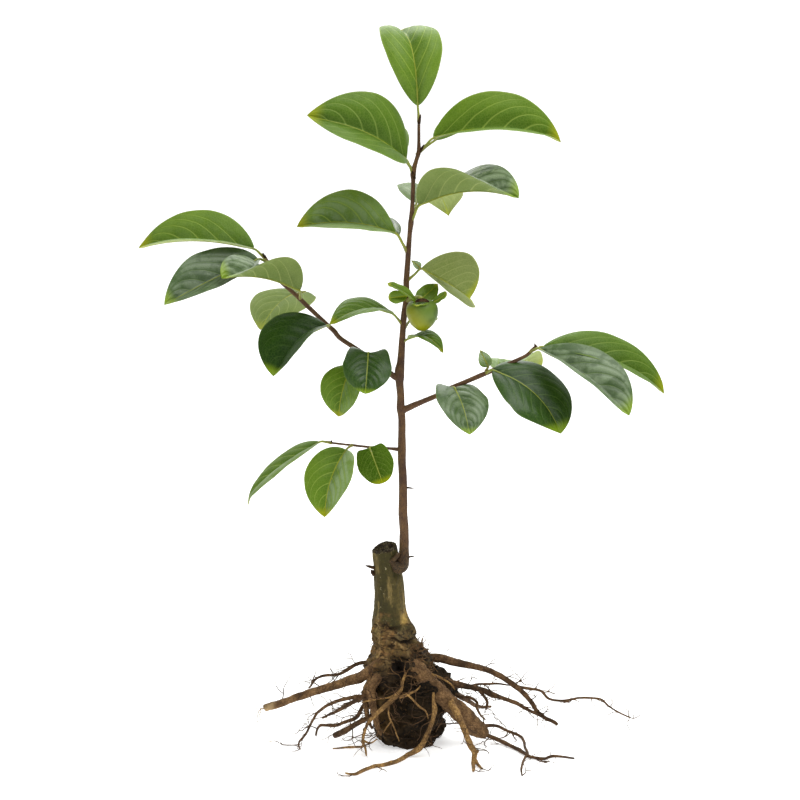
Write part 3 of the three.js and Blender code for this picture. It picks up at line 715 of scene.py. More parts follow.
# %% Blade rule
def blade_rule(tree, size):
    """A two-sided grid on each leaf's point, bent to its midrib, outline, fold and veins."""
    # Two flat grids on each point: place runs from foot to tip, offset from margin to margin
    values = {"Size X": 1.0, "Size Y": 1.0, "Vertices X": size["Steps"], "Vertices Y": size["Columns"]}
    grid = made(tree, "GeometryNodeMeshGrid", values)
    here = position(tree)
    x, y, _ = here.parts()
    even = x + 0.5
    grid = store(tree, grid, "place", (even + 0.5 - (even * math.pi).math("COSINE") * 0.5) * 0.5)
    grid = store(tree, grid, "offset", y * 2.0)
    above = store(tree, grid, "side", 0.0)
    below = made(tree, "GeometryNodeFlipFaces", (store(tree, grid, "side", 1.0),))
    both = together(tree, above, below)
    points = made(tree, "GeometryNodeMeshToPoints", {"Mesh": size["Geometry"]})
    leaves = made(tree, "GeometryNodeInstanceOnPoints", {"Points": points, "Instance": both})
    leaves = made(tree, "GeometryNodeRealizeInstances", {"Geometry": leaves})

    place, offset, side = (read(tree, name) for name in ("place", "offset", "side"))
    start, middle, end, up = (read(tree, name, "FLOAT_VECTOR") for name in ("start", "middle", "end", "up"))
    width, fold, twist, belly, seed, tone = (
        read(tree, name) for name in ("width", "fold", "twist", "belly", "seed", "tone")
    )
    widest, foot, point, lobe, hook = (
        read(tree, name) for name in ("widest", "foot", "point", "lobe", "hook")
    )
    # The midrib, its direction, and the upward direction that twists about it
    rest = 1.0 - place
    rib = start.scaled(rest * rest).vector("ADD", middle.scaled(place * rest * 2.0))
    rib = rib.vector("ADD", end.scaled(place * place))
    along = middle.vector("SUBTRACT", start).scaled(rest)
    along = along.vector("ADD", end.vector("SUBTRACT", middle).scaled(place)).vector("NORMALIZE")
    flat = up.vector("SUBTRACT", along.scaled(up.vector("DOT_PRODUCT", along))).vector("NORMALIZE")
    turn = twist * (place - 0.5)
    turned = along.vector("CROSS_PRODUCT", flat).scaled(turn.math("SINE"))
    lifted = flat.scaled(turn.math("COSINE")).vector("ADD", turned)
    across = lifted.vector("CROSS_PRODUCT", along)

    # The two halves: how wide they are, how they fold up, curl and droop
    uneven = clouds(joined(place * 3.4, offset * 0.4, seed * 31.0), 1.0, 1.0) - 0.5
    half = width * half_width(place, widest, foot, point) * (uneven * size["Uneven"] * 2.0 + 1.0) * 0.5
    half = half.math("MAXIMUM", size["Point Width"])
    blunt = (offset * offset + CREASE**2).math("SQRT")
    spread = (blunt - CREASE) / (math.sqrt(1 + CREASE**2) - CREASE)
    tilt = fold - spread * MARGIN_DROOP + (0.5 - spread) * belly
    sideways, upwards = tilt.math("COSINE"), tilt.math("SINE")
    skin = lifted.scaled(sideways).vector("SUBTRACT", across.scaled(upwards * offset / blunt))

    # The relief: sunk veins, a groove along the midrib and waves towards the margins
    closing = place.smooth(0.0, 0.05) * place.smooth(1.0, 0.94)
    inner = 1.0 - abs(offset) ** 4.0
    origin, count = side_vein_count(place, offset, seed)
    sunk = 1.0 - abs(((count - 0.5) * math.pi).math("SINE"))
    veins = sunk * spread.smooth(0.0, 0.15) * inner * origin.smooth(-0.04, 0.06)
    groove = 1.0 - abs(offset * half).smooth(0.0, GROOVE)
    ruffle = clouds(joined(place * 2.6, offset * 0.9, seed * 17.0), 1.0, 1.0) - 0.5
    deep = size["Vein Depth"] * (tone * 0.2 + 0.7)
    relief = ruffle * spread**1.5 * size["Ruffle"] * 2.0 - veins * deep - groove * deep
    relief = relief * closing - side * size["Thickness"] * inner * closing
    # The lobes of the foot, the hook of the tip, and the whole bend
    near_foot = (1.0 - place / LOBE_END).math("MAXIMUM", 0.0)
    back = near_foot**2.0 * place * LOBE_GAIN * spread**1.5 * lobe
    ahead = (place - HOOK_START).math("MAXIMUM", 0.0) ** 2.0 * hook * HOOK_GAIN
    bent = rib.vector("ADD", across.scaled(offset * half * sideways)).vector("SUBTRACT", along.scaled(back))
    bent = bent.vector("ADD", lifted.scaled(spread * half * upwards + ahead))
    bent = bent.vector("ADD", skin.scaled(relief))

    # The finish by side and tone, then the bend, and one closed shell
    for label, rule in (
        ("Under", side * tone.math("GREATER_THAN", 0.5)),
        ("Young Under", side * tone.math("LESS_THAN", 0.5)),
        ("Young Upper", (1.0 - side) * tone.math("LESS_THAN", 0.5)),
        ("Green Upper", (1.0 - side) * tone.math("COMPARE", 1.0, 0.5)),
        ("Dark Upper", (1.0 - side) * tone.math("GREATER_THAN", 1.5)),
    ):
        chosen = rule.math("GREATER_THAN", 0.5)
        values = {"Geometry": leaves, "Selection": chosen, "Material": size[label]}
        leaves = made(tree, "GeometryNodeSetMaterial", values)
    leaves = store(tree, leaves, "span", offset * half)
    leaves = made(tree, "GeometryNodeSetPosition", {"Geometry": leaves, "Position": bent})
    leaves = made(tree, "GeometryNodeMergeByDistance", {"Geometry": leaves, "Distance": WELD})
    leaves = made(tree, "GeometryNodeSetShadeSmooth", {"Geometry": leaves})
    margin = abs(offset).math("GREATER_THAN", 0.999)
    values = {"Geometry": leaves, "Selection": margin, "Shade Smooth": False}
    return made(tree, "GeometryNodeSetShadeSmooth", values, domain="EDGE")


# %% Blade tree
blade_tree, size, result = geometry_tree(
    "Leaf blades",
    {
        "Steps": 60,
        "Columns": 29,
        "Point Width": 0.15 * MM,
        "Thickness": 0.45 * MM,
        "Vein Depth": 0.7 * MM,
        "Ruffle": 2.2 * MM,
        "Uneven": 0.05,
        "Young Upper": None,
        "Green Upper": None,
        "Dark Upper": None,
        "Young Under": None,
        "Under": None,
    },
)
feed(blade_tree, result.inputs[0], blade_rule(blade_tree, size))
print("Blade tree nodes:", len(blade_tree.nodes))

# %% [markdown]
# ## Leaf finish
# The upper side is waxy, with a pale midrib, fine pale side veins and a net of tiny ones between
# them. The under side is paler and dull, and its veins stand out. A photograph of a leaf could be
# laid on the blade; here the veins are the same sum that sank them into the blade, read from the
# place and offset that each point of the blade carries, so colour and relief always agree.

# %% Vein group
vein_group, given, result = shader_group(
    "Leaf veins",
    {"Place": 0.5, "Offset": 0.0, "Span": 0.0, "Seed": 0.0, "Vector": None, "Vein Width": 0.075},
    ["Midrib", "Side Veins", "Swell", "Net", "Margin", "Tip"],
)
place, offset = given["Place"], given["Offset"]
start, count = side_vein_count(place, offset, given["Seed"])
drift = (clouds(given["Vector"], 60.0, 2.0) - 0.5) * 0.12
gap = abs((count + drift).math("FRACT") - 0.5)
fading = (1.0 - abs(offset) ** 6.0) * start.smooth(-0.03, 0.02)
thin = gap.smooth(given["Vein Width"], given["Vein Width"] * 0.35)
feed(vein_group, result.inputs["Side Veins"], thin * fading)
feed(vein_group, result.inputs["Swell"], gap.smooth(0.05, 0.36) * fading)
rib_width = (1.0 - place) * (0.5 * MM) + 0.15 * MM
midrib = abs(given["Span"]).smooth(rib_width + 0.25 * MM, rib_width * 0.6)
feed(vein_group, result.inputs["Midrib"], midrib)
feed(vein_group, result.inputs["Net"], cell_edge(given["Vector"], 420.0).smooth(0.14, 0.0))
feed(vein_group, result.inputs["Margin"], abs(offset).smooth(0.94, 0.995))
feed(vein_group, result.inputs["Tip"], place.smooth(0.85, 0.97))
print("Leaf veins group puts out", len(result.inputs) - 1, "masks")


# %% Leaf finishes
# Colours of the painted sheen and the painted shade that each leaf's own number lays on it
PAINTED_SHEEN, PAINTED_SHADE = tint(160, 178, 142), tint(22, 46, 4)


def leaf_finish(name, colours, roughness, vein_share, specular=0.3, coat=0.0, sheen_share=1.0):
    """A leaf skin from four colours: body, shade, vein and tip.

    The green deepens towards the midrib as painted shade, and veins and margin are paler. The
    leaf's own number paints sheen on it, a silvery colour, where it is positive, and paints shade,
    a deeper green, where it is negative. The last value says how much painted sheen a finish takes.
    """
    material, tree, shader = finish(name, roughness, specular, coat_weight=coat, coat_roughness=0.3)
    body, shade, vein, edge = (tint(*colour) for colour in colours)
    here, offset = object_place(tree), attribute(tree, "offset")
    masks = place_group(
        tree,
        vein_group,
        place=attribute(tree, "place"),
        offset=offset,
        span=attribute(tree, "span"),
        seed=attribute(tree, "seed"),
        vector=here,
    )
    patchy = patches(here, 45.0, 0.35, 0.68)
    cast, half = attribute(tree, "cast"), attribute(tree, "half")
    # Painted sheen lies on the swells between the veins, in soft patches, on one half where half is set
    sheen_patches = patches(here, 70.0, 0.38, 0.56)
    sheen_patches = (masks["Swell"] * 0.45 + 0.5) * (sheen_patches * 0.9 + 0.4)
    sheen_patches = sheen_patches * (offset * half).smooth(-0.08, 0.08).math("MAXIMUM", 1.0 - abs(half))
    # How deep the painted shade goes; it also lowers the specular level
    depth = cast.math("MINIMUM", 0.0)
    fine = clouds(here, 900.0, 3.0, 0.7)
    skin = coats(
        # Blotches, and painted shade that darkens the green towards the midrib
        mixed(patchy * 0.5 + abs(offset).smooth(0.9, 0.1) * 0.5, body, shade),
        # Painted sheen, then painted shade
        ((cast * sheen_share * sheen_patches).math("MAXIMUM", 0.0), PAINTED_SHEEN),
        ((cast * -1.0).math("MAXIMUM", 0.0), PAINTED_SHADE),
        (fine.smooth(0.42, 0.62) * 0.16, shade),
        (masks["Net"] * 0.2, vein),
        (masks["Side Veins"] * (depth * 0.7 + vein_share), vein),
        (masks["Margin"] * 0.6, vein),
        (masks["Tip"] * 0.75, edge),
        (masks["Midrib"] * (vein_share + 0.25), edge),
    )
    feed(tree, shader.inputs["Base Color"], skin)
    feed(tree, shader.inputs["Specular IOR Level"], depth * 0.4 + specular)
    feed(tree, shader.inputs["Roughness"], patchy * 0.12 + (roughness - 0.06))
    height = masks["Side Veins"] * 0.6 + masks["Net"] * 0.25 + clouds(here, 500.0, 2.0) * 0.3
    raised(tree, shader, 1.0 - height, 0.3 * MM, 0.7)
    return material


# %% Five leaf finishes
# Four colours, then roughness, the share of the veins and the specular level
LEAF_FINISHES = {
    "young_upper": leaf_finish(
        "leaf_young_upper",
        [(98, 128, 30), (74, 106, 16), (138, 160, 66), (158, 160, 10)],
        0.5, 0.7, 0.16,
    ),
    "green_upper": leaf_finish(
        "leaf_green_upper",
        [(88, 118, 32), (66, 96, 18), (130, 152, 70), (148, 156, 20)],
        0.46, 0.65, 0.16,
    ),
    "dark_upper": leaf_finish(
        "leaf_dark_upper",
        [(46, 76, 18), (28, 56, 8), (88, 114, 52), (136, 164, 24)],
        0.38, 0.45, 0.25, coat=0.12,
    ),
    "young_under": leaf_finish(
        "leaf_young_under",
        [(152, 166, 96), (138, 154, 80), (176, 184, 112), (160, 168, 40)],
        0.6, 0.6, 0.25, sheen_share=0.0,
    ),
    "under": leaf_finish(
        "leaf_under",
        [(116, 134, 68), (98, 118, 54), (146, 158, 88), (146, 154, 48)],
        0.6, 0.6, 0.25, sheen_share=0.0,
    ),
}
print("Leaf finishes:", len(LEAF_FINISHES))

# %% [markdown]
# ## Leaves on their points
# Each mass of foliage becomes one piece of blades. The points carry the numbers of the table, and
# the middle of the midrib's bend is worked out here from the arch and the sweep, as in the
# construction.


# %% Leaf pieces
def blade_points(name, leaves, shift=0.0):
    """One point for each leaf with the values that the blade rule reads."""
    fields = {}
    for number, one in enumerate(leaves):
        start, end, up, middle = midrib_bend(one)
        values = {"start": start, "middle": middle, "end": end, "up": up}
        values["seed"] = (number * 0.37 + shift) % 1.0
        values |= {key: one[key] * MM for key in ("width", "lobe", "hook")}
        values |= {key: math.radians(one[key]) for key in ("fold", "twist", "belly")}
        values |= {key: float(one[key]) for key in ("widest", "foot", "point", "tone", "cast", "half")}
        for key, value in values.items():
            fields.setdefault(key, []).append(value)
    return points_mesh(name, fields["start"], **fields)


def midrib_bend(one):
    """Foot, tip, upward direction and the point that bends the midrib, in metres."""
    foot, tip = Vector(one["base"]) * MM, Vector(one["tip"]) * MM
    chord = (tip - foot).normalized()
    up = Vector(one["face"])
    up = (up - chord * up.dot(chord)).normalized()
    arch, sweep = up * (2 * one["arch"] * MM), chord.cross(up) * (2 * one["sweep"] * MM)
    return foot, tip, up, (foot + tip) / 2 + arch + sweep


for number, (node, leaves) in enumerate(LEAVES.items()):
    name = node.replace("foliage", "leaves").replace("leaf_", "blade_")
    piece = grown(name, blade_points(name, leaves, number * 0.23), blade_tree, **LEAF_FINISHES)
    dressed(piece, "leaf_young" if leaves[0]["tone"] == YOUNG else "leaf_green", node)

# %% [markdown]
# ## Stalks and midribs
# Each stalk swells where it leaves the twig and runs on under the blade as the midrib. It is green,
# and browner near the twig. The limb tree sweeps it along a line from the table.

# %% Stalk finish
stalk_green, tree, shader = finish("stalk_green", 0.45, 0.4)
soft = patches(object_place(tree), 160.0, 0.4, 0.62)
near_twig = attribute(tree, "along").smooth(0.011, 0.001)
skin = mixed(soft, tint(146, 152, 54), tint(124, 136, 50))
feed(tree, shader.inputs["Base Color"], mixed(near_twig * 0.55, skin, tint(112, 92, 50)))
print("Finish:", stalk_green.name)


# %% Stalk lines
NODE_GIRTH, ELBOW_GIRTH, FOOT_GIRTH, RIB_GIRTH = 1.7, 1.15, 1.0, 0.7  # millimetres
RIB_STEPS = 8


def stalk_line(one):
    """Node, blade foot and points under the midrib, with the girth at each, in millimetres."""
    foot, tip, up, middle = midrib_bend(one)
    node = Vector(one["node"]) * MM
    elbow = (node + foot) / 2 + up * (0.6 * MM)
    line = [(*(node / MM), NODE_GIRTH), (*(elbow / MM), ELBOW_GIRTH), (*(foot / MM), FOOT_GIRTH)]
    for step in range(1, RIB_STEPS + 1):
        place = step * 0.11
        girth = RIB_GIRTH * (1 - place) ** 0.8 + 0.1
        point = foot * (1 - place) ** 2 + middle * (2 * place * (1 - place)) + tip * place**2
        point -= up * ((0.35 + girth * 0.7) * MM)
        line.append((*(point / MM), girth))
    return line


stalks = limbs(
    "leaf_stalks",
    [stalk_line(one) for leaves in LEAVES.values() for one in leaves],
    sides=10,
    ring_spacing=1.5 * MM,
    ridge_share=0.02,
    lump_share=0.06,
    lump_scale=150.0,
    bark=stalk_green,
)
dressed(stalks, "leaf_young")

# %% [markdown]
# ## The old stump
# The rootstock is an old trunk, sawn off above the graft and long healed brown. It is smooth above
# and wrinkled below, it bulges on both sides before it flares into the roots, and the cut on top is
# dark, cracked and rounded. A sculpting brush would make it; here a skin of rings is pushed out and
# in by noises and by a short list of bulges and creases, up to the cut, and closed over the cut
# with a second relief. Two short lumpy limbs are the swellings where the graft has grown on.

# %% Stump shape
STUMP_LINE = [
    (-4, 0, 54, 29), (-3, 0, 66, 29), (-3, 0, 75, 27.4), (-4, 0, 84, 24), (-6.5, 0, 92, 20.8),
    (-9, 0, 101, 18.4), (-10.8, 0, 113, 16.2), (-12, 0, 124, 14.6), (-12.5, 0, 137, 13.9),
    (-13.3, 0, 151, 13.4), (-15, 0, 168, 12), (-17, 0, 192, 10.8),
]
STUMP_SIDES, STUMP_RINGS, CUT_RINGS = 192, 150, 26
CUT_TOP, CUT_STEP = 183.2, 5.0
# Bulges and creases: degrees round the trunk, height, half width round and up, outward push
STUMP_FORMS = [
    (-22, 106, 28, 8, 4.8),
    (-60, 121, 16, 5, 1.4),
    (-86, 133, 20, 4, 1.1),
    (190, 106, 36, 9, 2.4),
    (196, 72, 30, 10, 3),
    (-72, 105.5, 17, 3.4, 2.6),
    (-70, 112, 30, 1.7, -3.4),
    (-76, 99.5, 34, 1.8, -2.4),
    (-40, 97, 22, 2, -3.4),
    (-104, 92, 26, 1.5, -2.6),
    (-116, 112, 30, 1.6, -1.8),
    (-88, 88, 22, 5, 2.8),
    (-62, 86, 26, 1.6, -3),
    (-92, 72, 15, 8, -10),
    (-128, 72, 22, 12, 5),
    (-58, 74, 20, 9, 4),
    (-20, 78, 26, 6, 3),
    (-64, 153, 30, 3, 1.6),
]


# %% Bark relief
def between(line, share):
    """The centre and girth of a limb's line at a share of its length, eased through its points."""
    place = share * (len(line) - 1)
    i = min(int(place), len(line) - 2)
    t = place - i
    a, b, c, d = (np.array(line[min(max(k, 0), len(line) - 1)], float) for k in (i - 1, i, i + 1, i + 2))
    return 0.5 * (2 * b + (c - a) * t + (2 * a - 5 * b + 4 * c - d) * t**2 + (3 * b - a - 3 * c + d) * t**3)


def bark_relief(height, angle):
    """Outward push of the old bark in millimetres: forms, knots, wrinkles and fine grain."""
    x, y = math.cos(angle), math.sin(angle)
    low = min(1.0, max(0.0, (122 - height) / 30))
    foot = min(1.0, max(0.0, (92 - height) / 14))
    push = 1.5 * noise.noise(Vector((x * 1.8, y * 1.8, height * 0.035)))
    push += 0.5 * noise.noise(Vector((x * 5, y * 5, height * 0.07 + 7)))
    push += low * 1.8 * (0.6 - 3 * abs(noise.noise(Vector((x * 2.2, y * 2.2, height * 0.17 + 3)))))
    push += (0.25 + low * 0.7) * noise.noise(Vector((x * 12, y * 12, height * 0.5)))
    knots = 3.4 * noise.noise(Vector((x * 5, y * 5, height * 0.1 + 9)))
    push += foot * (knots + 1.8 * noise.noise(Vector((x * 14, y * 14, height * 0.3))))
    for degrees, level, around, up, depth in STUMP_FORMS:
        turn = (math.degrees(angle) - degrees + 180) % 360 - 180
        rise = height - level - 5.5 * noise.noise(Vector((x * 2.6, y * 2.6, depth)))
        push += depth * math.exp(-((turn / around) ** 2) - (rise / up) ** 2)
    return push


def stump_point(share, angle):
    """A point of the bark, in millimetres."""
    x, y, z, girth = between(STUMP_LINE, share)
    reach = girth + bark_relief(z, angle)
    return np.array((x + math.cos(angle) * reach, y + math.sin(angle) * reach, z))


# %% Relief of the healed cut
def cut_height(x, y):
    """The healed cut: highest right of the middle, steep on the right, lower towards the viewer."""
    left, right = min(0.0, x + 12), max(0.0, x + 7)
    return CUT_TOP - 0.019 * left**2 - min(CUT_STEP, 0.8 * right**2) + 0.16 * y


def cut_relief(x, y, inward):
    """Cracks that run in from the rim, coarse fibres and a worn hollow."""
    angle = math.atan2(y, x + 16)
    split = abs(noise.noise(Vector((math.cos(angle) * 5, math.sin(angle) * 5, 4.0))))
    crack = -2.6 * max(0.0, 1 - split * 7) * math.sin(math.pi * inward)
    fibres = 1.3 * noise.noise(Vector((x * 0.3, y * 0.3, 2.0)))
    fibres += 0.9 * noise.noise(Vector((x * 0.9, y * 0.9, 5.0)))
    return (crack + fibres) * min(1.0, inward * 5) - 1.4 * math.sin(math.pi * min(1.0, inward * 1.3) / 2)


# %% Stump skin
def ring_faces(rings, sides):
    """The faces between rings of points, each ring closed on itself."""
    faces = []
    for first in range(0, (rings - 1) * sides, sides):
        corners = [(first + k, first + (k + 1) % sides) for k in range(sides)]
        faces += [(a, b, b + sides, a + sides) for a, b in corners]
    return faces


def stump_mesh():
    """Rings from the foot to the cut, then rings over the cut to its middle."""
    angles = [2 * math.pi * k / STUMP_SIDES for k in range(STUMP_SIDES)]
    tops = []
    for angle in angles:
        low, high = 0.5, 1.0
        for _ in range(12):
            mid = (low + high) / 2
            x, y, z = stump_point(mid, angle)
            low, high = (mid, high) if z < cut_height(x, y) else (low, mid)
        tops.append(low)
    rings = []
    for ring in range(STUMP_RINGS):
        share = ring / (STUMP_RINGS - 1)
        rings.append([stump_point(top * share, angle) for top, angle in zip(tops, angles)])
    rim = np.array(rings[-1])
    centre = rim.mean(axis=0)
    for ring in range(1, CUT_RINGS):
        inward = ring / CUT_RINGS
        row = rim + (centre - rim) * inward
        for point in row:
            point[2] = cut_height(point[0], point[1]) + cut_relief(point[0], point[1], inward)
        rings.append(list(row))
    vertices = [tuple(point * MM) for ring in rings for point in ring]
    vertices.append(tuple(np.mean(rings[-1], axis=0) * MM))
    pushes = [bark_relief(point[2], angle) for ring in rings for point, angle in zip(ring, angles)] + [0.0]
    faces = ring_faces(len(rings), STUMP_SIDES)
    last = (len(rings) - 1) * STUMP_SIDES
    faces += [(last + k, last + (k + 1) % STUMP_SIDES, len(vertices) - 1) for k in range(STUMP_SIDES)]
    faces.append(tuple(range(STUMP_SIDES - 1, -1, -1)))
    mesh = skin_mesh("stump_bark", vertices, faces)
    first_cut = (STUMP_RINGS - 2) * STUMP_SIDES
    for face in mesh.polygons[first_cut:first_cut + CUT_RINGS * STUMP_SIDES]:
        face.material_index = 1
    mesh.attributes.new("push", "FLOAT", "POINT").data.foreach_set("value", pushes)
    highest = max(vertex[2] for vertex in vertices)
    print("Stump rings:", len(rings), "highest point in mm:", round(highest / MM))
    return mesh


# %% [markdown]
# ## Old bark and the healed cut
# Above, the bark is smooth and olive-brown, with pale ochre streaks along the trunk and small pale
# pores. Below the bulges it is a redder brown with dark wrinkles across it, and at the roots it is
# stained with earth. The cut is near black with grey-brown fibres. Streaks and wrinkles are one
# noise drawn out along the trunk or across it. A pale worn spot has a soft mask of its own, and so
# has the bulge on the right side, which is painted darker as painted shade. Where the bark's relief
# sinks in, it is painted darker too, as painted shade.

# %% Old bark finish
TRUNK_X = -12.5 * MM
SMOOTH_FROM, WRINKLED_FROM = 122 * MM, 104 * MM  # heights, going down
CLEAN_FROM, STAINED_FROM = 94 * MM, 78 * MM


def spot(x, z, middle, outer, inner):
    """A soft patch in front: 1 within the inner half width and height, 0 beyond the outer ones."""
    across, up = abs(x - middle[0] * MM), abs(z - middle[1] * MM)
    return across.smooth(outer[0] * MM, inner[0] * MM) * up.smooth(outer[1] * MM, inner[1] * MM)


old_bark, tree, shader = finish("old_bark", 0.8, 0.2)
here = object_place(tree)
x, y, z = here.parts()
along = joined(x, y, z * 0.3)
across = joined(x * 0.35, y * 0.35, z)
olive = patches(along, 70.0, 0.4, 0.6)
ochre = patches(along, 130.0, 0.53, 0.66)
flakes = patches(here, 330.0, 0.4, 0.64)
pores = patches(here, 420.0, 0.66, 0.71)
orange = patches(here, 95.0, 0.46, 0.62)
soil = patches(here, 60.0, 0.36, 0.56)
low = (z + (clouds(here, 60.0, 4.0, 0.6) - 0.5) * 0.1).smooth(SMOOTH_FROM, WRINKLED_FROM)
wrinkle = abs(clouds(across, 190.0, 3.0) - 0.5).smooth(0.04, 0.0) * (low * 0.85 + 0.15)
# Painted shade where the bark's relief sinks in
hollow = attribute(tree, "push").smooth(0.2, -2.6)
middle = abs(x - TRUNK_X).smooth(0.013, 0.004) * 0.55
worn = spot(x, z, (1, 117.5), (4.5, 8), (1, 2))
# Painted shade on the bulge at the right side
painted_bulge_shade = spot(x, z, (3, 105), (13, 10), (6, 4))
skin = coats(
    mixed((olive * 0.6 + middle).math("MINIMUM", 1.0), tint(102, 88, 47), tint(60, 55, 26)),
    (flakes * 0.55, tint(56, 50, 28)),
    (ochre * 0.6, tint(150, 128, 78)),
    (low * (orange * 0.6 + 0.3), tint(142, 106, 62)),
    (low * flakes * 0.5, tint(82, 62, 40)),
    (low * ochre * 0.7, tint(156, 128, 84)),
    (worn * (flakes * 0.4 + 0.5), tint(186, 154, 84)),
    (painted_bulge_shade * (flakes * 0.3 + 0.5), tint(54, 51, 34)),
    (pores * 0.6, tint(176, 166, 130)),
    (wrinkle * 0.8, tint(40, 29, 18)),
    ((z - x * 0.35).smooth(CLEAN_FROM, STAINED_FROM) * (soil * 0.4 + 0.6), tint(34, 25, 15)),
    # Painted shade in the sunk places
    (hollow * (low * 0.5 + 0.35), tint(26, 19, 12)),
)
feed(tree, shader.inputs["Base Color"], skin)
grit = clouds(here, 700.0, 3.0, 0.6) * 0.35 + clouds(along, 260.0, 3.0) * 0.5
raised(tree, shader, grit * (low * 1.4 + 0.6) - wrinkle * 0.9, 1.5 * MM, 1.0)

# %% Healed cut finish
healed_cut, tree, shader = finish("healed_cut", 0.9, 0.15)
here = object_place(tree)
fibres = place_group(tree, cracks, vector=here, scale=330.0, stretch=1.0, width=0.2)
grey = patches(here, 190.0, 0.45, 0.6)
skin = mixed(grey, tint(52, 42, 28), tint(96, 86, 62))
feed(tree, shader.inputs["Base Color"], mixed(fibres["Crack"] * 0.8, skin, tint(22, 17, 12)))
raised(tree, shader, fibres["Height"], 1.0 * MM, 0.9)
print("Finishes:", old_bark.name, healed_cut.name)

# %% Stump piece
dressed(placed("stump_bark", stump_mesh(), old_bark, healed_cut), "old_bark", "rootstock")
GRAFT_SWELLINGS = [
    [(-15, -9, 169, 0.8), (-11.5, -10.6, 170.6, 1.9), (-8, -10.6, 173, 2.4), (-5, -9.4, 176, 1.9),
     (-3, -7.5, 178.5, 0.8)],
    [(-10, -10.5, 165, 1), (-6, -12, 162.8, 2.2), (-1.5, -11.5, 162.6, 2.6), (2.4, -8.5, 165, 2.2),
     (4.6, -4, 170, 1)],
]
graft = limbs(
    "graft_bark",
    GRAFT_SWELLINGS,
    sides=32,
    ring_spacing=0.5 * MM,
    ridge_share=0.3,
    ridge_scale=500.0,
    stretch=2.0,
    lump_share=0.4,
    lump_scale=240.0,
    wander=0.8 * MM,
    bark=young_bark,
)
dressed(graft, "young_bark")

# %% [markdown]
# ## Roots
# The roots leave the stump as thick as fingers and end as threads. They are crooked and knotty,
# tan where soil has been washed off in front and dark where it clings behind. So they come in three
# groups, thick, washed and earthy, each with its own finish. The lines are those of the
# construction, with finer side roots and the crown's ridges; the limb tree adds wander and knots.

# %% Root lines
ROOTS_THICK = {
    "root_right_thick": [
        [(0, -8, 84, 5), (4.6, -14, 80, 6), (10, -20, 75, 7.6), (20, -24, 64.6, 8.3),
         (31.8, -26, 53, 8.4), (43.6, -25, 41.4, 8.3), (55.6, -20, 28.7, 8.4), (65.8, -12, 16.4, 8.2),
         (72.4, -9, 10.3, 6.8), (76.5, -8, 7.5, 4)],
    ],
    "root_left_thick": [
        [(-10, -12, 87, 2.4), (-15.4, -15, 83.7, 3.4), (-20, -18, 80.7, 4.6), (-29.1, -17, 71.1, 5.2),
         (-39.1, -14, 63.2, 4.9), (-48.3, -12, 59.8, 4.4), (-66.5, -12, 53.7, 4),
         (-84.8, -11, 47.8, 3.6), (-103.2, -10, 40.9, 3.4), (-119.7, -9, 35.4, 3.6),
         (-126, -8, 32.7, 3.4)],
    ],
    "root_crown": [
        [(-10, -14, 80, 2.4), (-14.5, -20, 73.8, 3.6), (-23.5, -27, 66.4, 4.4), (-28.9, -31, 58.1, 4.2),
         (-28, -34, 47.7, 3.6), (-26.2, -36, 37.1, 3.2), (-23.5, -35, 23.7, 2.4), (-20, -31, 14.3, 1.2)],
        [(-20, -16, 70, 3), (-29, -22, 63.1, 3.2), (-34, -24, 52.4, 3), (-33.6, -25, 39.5, 2.6),
         (-31.8, -26, 27.6, 2), (-28, -25, 18.2, 1)],
    ],
}
